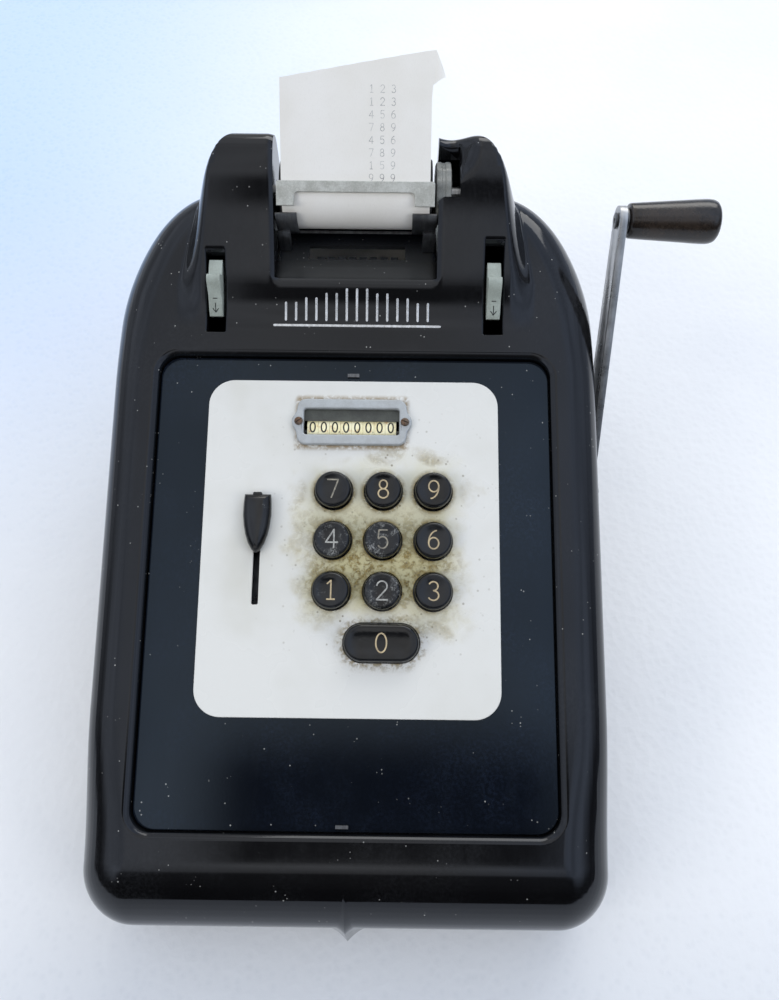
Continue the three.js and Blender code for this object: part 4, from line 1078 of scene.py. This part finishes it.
paper()
roller = [(3.2, -29.6), (12.4, -29.6), (PLATEN_RADIUS, -29.0), (PLATEN_RADIUS, 29.0), (12.4, 29.6)]
roller = turned([*roller, (3.2, 29.6), (3.2, -29.6)], PLATEN_AXIS, 96, False)
piece("rubber_platen", [roller], ["rubber"], "platen_set", ["platen"])
roll = [(3.5, -28.5), (ROLL_RADIUS, -28.5), (ROLL_RADIUS, 28.5), (3.5, 28.5), (3.5, -28.5)]
roll = turned(roll, ROLL_AXIS, 96, False)
piece("tally_roll", [roll], ["paper"], "paper_supply", ["paper_roll"])


def knob():
    angles = np.linspace(0, 2 * math.pi, 144, endpoint=False)
    scallops = 11.75 + 0.25 * np.cos(12 * angles)
    profile = [(31, 0.93), (31.3, 0.985), (31.8, 1.0), (33.2, 1.0), (33.4, 0.975), (34.6, 0.975)]
    profile += [(34.8, 1.0), (36.2, 1.0), (36.7, 0.985), (37, 0.93)]
    rings = [round_axis(np.full(144, x), angles, scallops * scale, PLATEN_AXIS)[0] for x, scale in profile]
    made = bored(raw_object("feed_knob", [loft(rings)]), 3.2, 30, 38, PLATEN_AXIS)
    dress(made, ["knob"], "platen_set", ["platen_knob"], 30)


knob()


def tear_bar():
    """A thin plate over the paper: the bar, and two legs down to the guide."""
    outline = [(-30.4, -6.8), (-23.6, -6.8), (-23.4, -3.2)] + arc(-22.0, -3.2, 1.4, 1.4, 180, 90, 5)
    outline += arc(21.2, -3.2, 1.4, 1.4, 90, 0, 5) + [(22.8, -6.8), (30.4, -6.8), (30.4, 1.7), (29.8, 2.3)]
    outline += [(-29.8, 2.3), (-30.4, 1.7)]
    vertices, faces = slab(np.array(outline), [], 0.6, 1.5, 0.25)
    placed = np.array([(x, *paper_point(along, above)) for x, along, above in vertices])
    piece("tear_off_bar", [(placed, faces)], ["tear"], replaces=["tear_bar"], sharp=40)


tear_bar()


def guide():
    outline = arc(*PLATEN_AXIS, 15.4, 15.4, 168, 226, 24) + arc(*PLATEN_AXIS, 14.3, 14.3, 226, 168, 24)
    made = raw_object("paper_guide", [prism(outline, -31.4, 31.4)])
    combine(made, [block(x, x + 5, 113.9, 116.1, 125.9, 136) for x in (-31.4, 26.4)], "UNION")
    combine(made, [block(-23, 22, 108, 122, 132.5, 160)], "DIFFERENCE")
    dress(made, ["dark_steel"], "base", ["ribbon_guide"], 35, 0.2, 2)


guide()


# ---------- crank ----------
CRANK_RUN = np.array([math.cos(CRANK_REST), math.sin(CRANK_REST)])
GRIP_AXIS = CRANK_AXIS + CRANK_REACH * CRANK_RUN


def crank():
    degrees = math.degrees(CRANK_REST)
    lower = arc(*CRANK_AXIS, 8.5, 8.5, degrees + 90, degrees + 270, 32)
    upper = arc(*GRIP_AXIS, 5.6, 5.6, degrees - 90, degrees + 90, 24)
    vertices, faces = prism(lower + upper, 98.2, 101)
    vertices[:, 0] += CRANK_LEAN * ((vertices[:, 1:] - CRANK_AXIS) @ CRANK_RUN)
    made = raw_object("crank_lever", [(vertices, faces)])
    combine(made, [rod(7.5, 97.1, 98.6, CRANK_AXIS, 64)], "UNION")
    combine(made, [rod(4.3, 95, 110, CRANK_AXIS, 48), rod(2.6, 95, 110, GRIP_AXIS)], "DIFFERENCE")
    dress(made, ["steel"], "crank", ["crank_arm"], 35, 0.35)

    shaft = [(3.4, -49), (4, -48.4), (4, 104), (3.2, 104.6)]
    piece("drive_shaft", [turned(shaft, CRANK_AXIS, 48)], ["steel"], "crank", ["crank_shaft"])
    nut = raw_object("shaft_nut", [prism(circle(*CRANK_AXIS, 6.4, 6), 101.6, 104.2)])
    bored(nut, 4.3, 101, 110, CRANK_AXIS)
    dress(nut, ["dark_steel"], "crank", ["crank_nut"], 30, 0.4)

    pin = [(0.9, 101.25), (1.1, 100.75), (2.6, 100.75), (3.1, 101.0), (3.1, 101.2), (2.3, 101.25)]
    pin += [(2.3, 104.9), (4.8, 104.95), (4.8, 105.45), (2.3, 105.5), (2.3, 135.9), (1.8, 136)]
    piece("grip_pin", [turned(pin, GRIP_AXIS, 40)], ["dark_steel"], "crank", ["grip_spindle"])
    handle = [(2.6, 105.8), (5.9, 105.8), (6.3, 106.0), (6.55, 106.5), (6.7, 108), (6.95, 112), (7.25, 117)]
    handle += [(7.55, 122), (7.85, 127), (8.1, 131), (8.3, 134.5), (8.32, 136.5), (8.15, 138.1), (7.65, 139.3)]
    handle += [(6.8, 140.0), (5.6, 140.35), (3.0, 140.4), (0.5, 140.4)]
    blind_bore = [(0.5, 136.4), (2.6, 136.4), (2.6, 105.8)]
    grip = turned(handle + blind_bore, GRIP_AXIS, 72, False)
    piece("turned_grip", [grip], ["grip"], "crank_handle", ["crank_grip"], 40)


crank()


# ---------- feet ----------
FEET = {"front_left": (-78, -104), "front_right": (78, -104), "rear_left": (-72, 100), "rear_right": (72, 100)}
FOOT = [(8.0, 0.0), (8.5, 0.1), (9.6, 0.4), (10.4, 1.0), (10.7, 1.8), (11.3, 6.4), (11.5, 7.7), (4.0, 7.7)]
for corner, (x, y) in FEET.items():
    rings = [level(circle(x, y, radius, 56), z) for radius, z in FOOT]
    piece(f"rubber_foot_{corner}", [loft(rings)], ["rubber"], "base", [f"foot_{corner}"])


# ---------- CAD nodes that keep their own shape ----------
RODS = ["counter_shaft", "lever_pivot_left", "lever_pivot_right", "platen_shaft"]
RODS += ["frame_tie_rod", "roll_spindle"]
KEPT = {
    "enamel": ["channel_floor"],
    "mask": ["counter_mask"],
    "steel": [*RODS, "key_guide_plate", "carriage_rail"],
    "dark_steel": ["base_pan", "type_bank", "panel_clip_rear", "panel_clip_front"],
    "iron": ["side_frame_left", "side_frame_right"],
    "brass": ["pin_carriage"],
}
for look, names in KEPT.items():
    for name in names:
        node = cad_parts[name]
        node.data.materials.clear()
        node.data.materials.append(LOOKS[look].material)


# ---------- floor, light and camera ----------
ground = bpy.data.meshes.new("floor")
ground.from_pydata([(-3, -3, 0), (3, -3, 0), (3, 3, 0), (-3, 3, 0)], [], [(0, 1, 2, 3)])
ground.materials.append(floor_look().material)
floor = linked("floor", ground)


def area_light(name, where, size, power, colour, mirrored=True):
    """A rectangular lamp turned to the machine."""
    data = bpy.data.lights.new(name, "AREA")
    data.shape, data.size, data.size_y = "RECTANGLE", size[0], size[1]
    data.energy, data.color = power, colour
    lamp = linked(name, data)
    lamp.location = where
    lamp.visible_glossy = mirrored
    lamp.rotation_mode = "QUATERNION"
    lamp.rotation_quaternion = (Vector((0, 0, 0.05)) - Vector(where)).to_track_quat("-Z", "Y")


area_light("sky_rear", (0.5, 1.7, 1.4), (1.8, 1.0), 18, (1.0, 0.97, 0.90))
area_light("sky_left", (-1.5, -0.9, 1.1), (0.9, 0.9), 10, (1.0, 0.93, 0.82), False)
area_light("sky_right", (1.5, -0.8, 1.0), (0.8, 0.8), 8, (1.0, 0.95, 0.87), False)


def sky():
    """Bright overcast sky, bluer to the right, dim near the horizon and darkest towards the front."""
    made = bpy.data.worlds.new("sky")
    made.use_nodes = True
    look = Nodes(made.node_tree, "Generated")
    x, y, z = look.axes()
    cloud = look.noise(2.6, 3, 0.5)
    low = look.between(y, -0.4, 0.4, 0.04, 0.6)
    height = look.most(low, look.between(z, 0.15, 0.62))
    aside = look.size(x)
    front = look.both(look.between(y, -0.34, -0.43), look.between(y, -0.58, -0.50))
    front = look.both(front, look.between(aside, 0.26, 0.15))
    nearer = look.both(look.between(y, -0.62, -0.78), look.between(aside, 0.6, 0.4))
    front = look.most(front, nearer)
    shade = look.minus(1.0, look.both(front, 0.94))
    patchy = look.between(cloud, 0.30, 0.70, 0.85, 1.28)
    amount = look.both(height, patchy, shade)
    bluer = look.most(look.between(x, 0.0, 0.32), look.between(x, -0.12, -0.4, 0, 0.6))
    backdrop = look.tree.nodes["Background"]
    look.put(backdrop.inputs["Color"], look.mix(bluer, (0.98, 0.98, 0.98), (0.74, 0.86, 1.08)))
    look.put(backdrop.inputs["Strength"], amount)
    return made


bpy.context.scene.world = sky()
bpy.context.scene.view_settings.view_transform = "Standard"

camera_data = bpy.data.cameras.new("camera")
camera_data.sensor_width, camera_data.lens = 36, 28.8
camera_data.clip_start, camera_data.clip_end = 0.01, 20
camera = linked("camera", camera_data)
down, swing, lean = 1.08810, -0.006076, 0.006350
look_along = Vector((math.sin(swing) * math.cos(down), math.cos(swing) * math.cos(down), -math.sin(down)))
sideways = Vector((math.cos(swing), -math.sin(swing), 0))
upward = sideways.cross(look_along)
right = sideways * math.cos(lean) + upward * math.sin(lean)
above = upward * math.cos(lean) - sideways * math.sin(lean)
turn = Matrix((right, above, -look_along)).transposed()
place = Vector(ORIGIN) + Vector((15.249, -126.947, 367.729)) * MM
camera.matrix_world = Matrix.Translation(place) @ turn.to_4x4()
bpy.context.scene.camera = camera
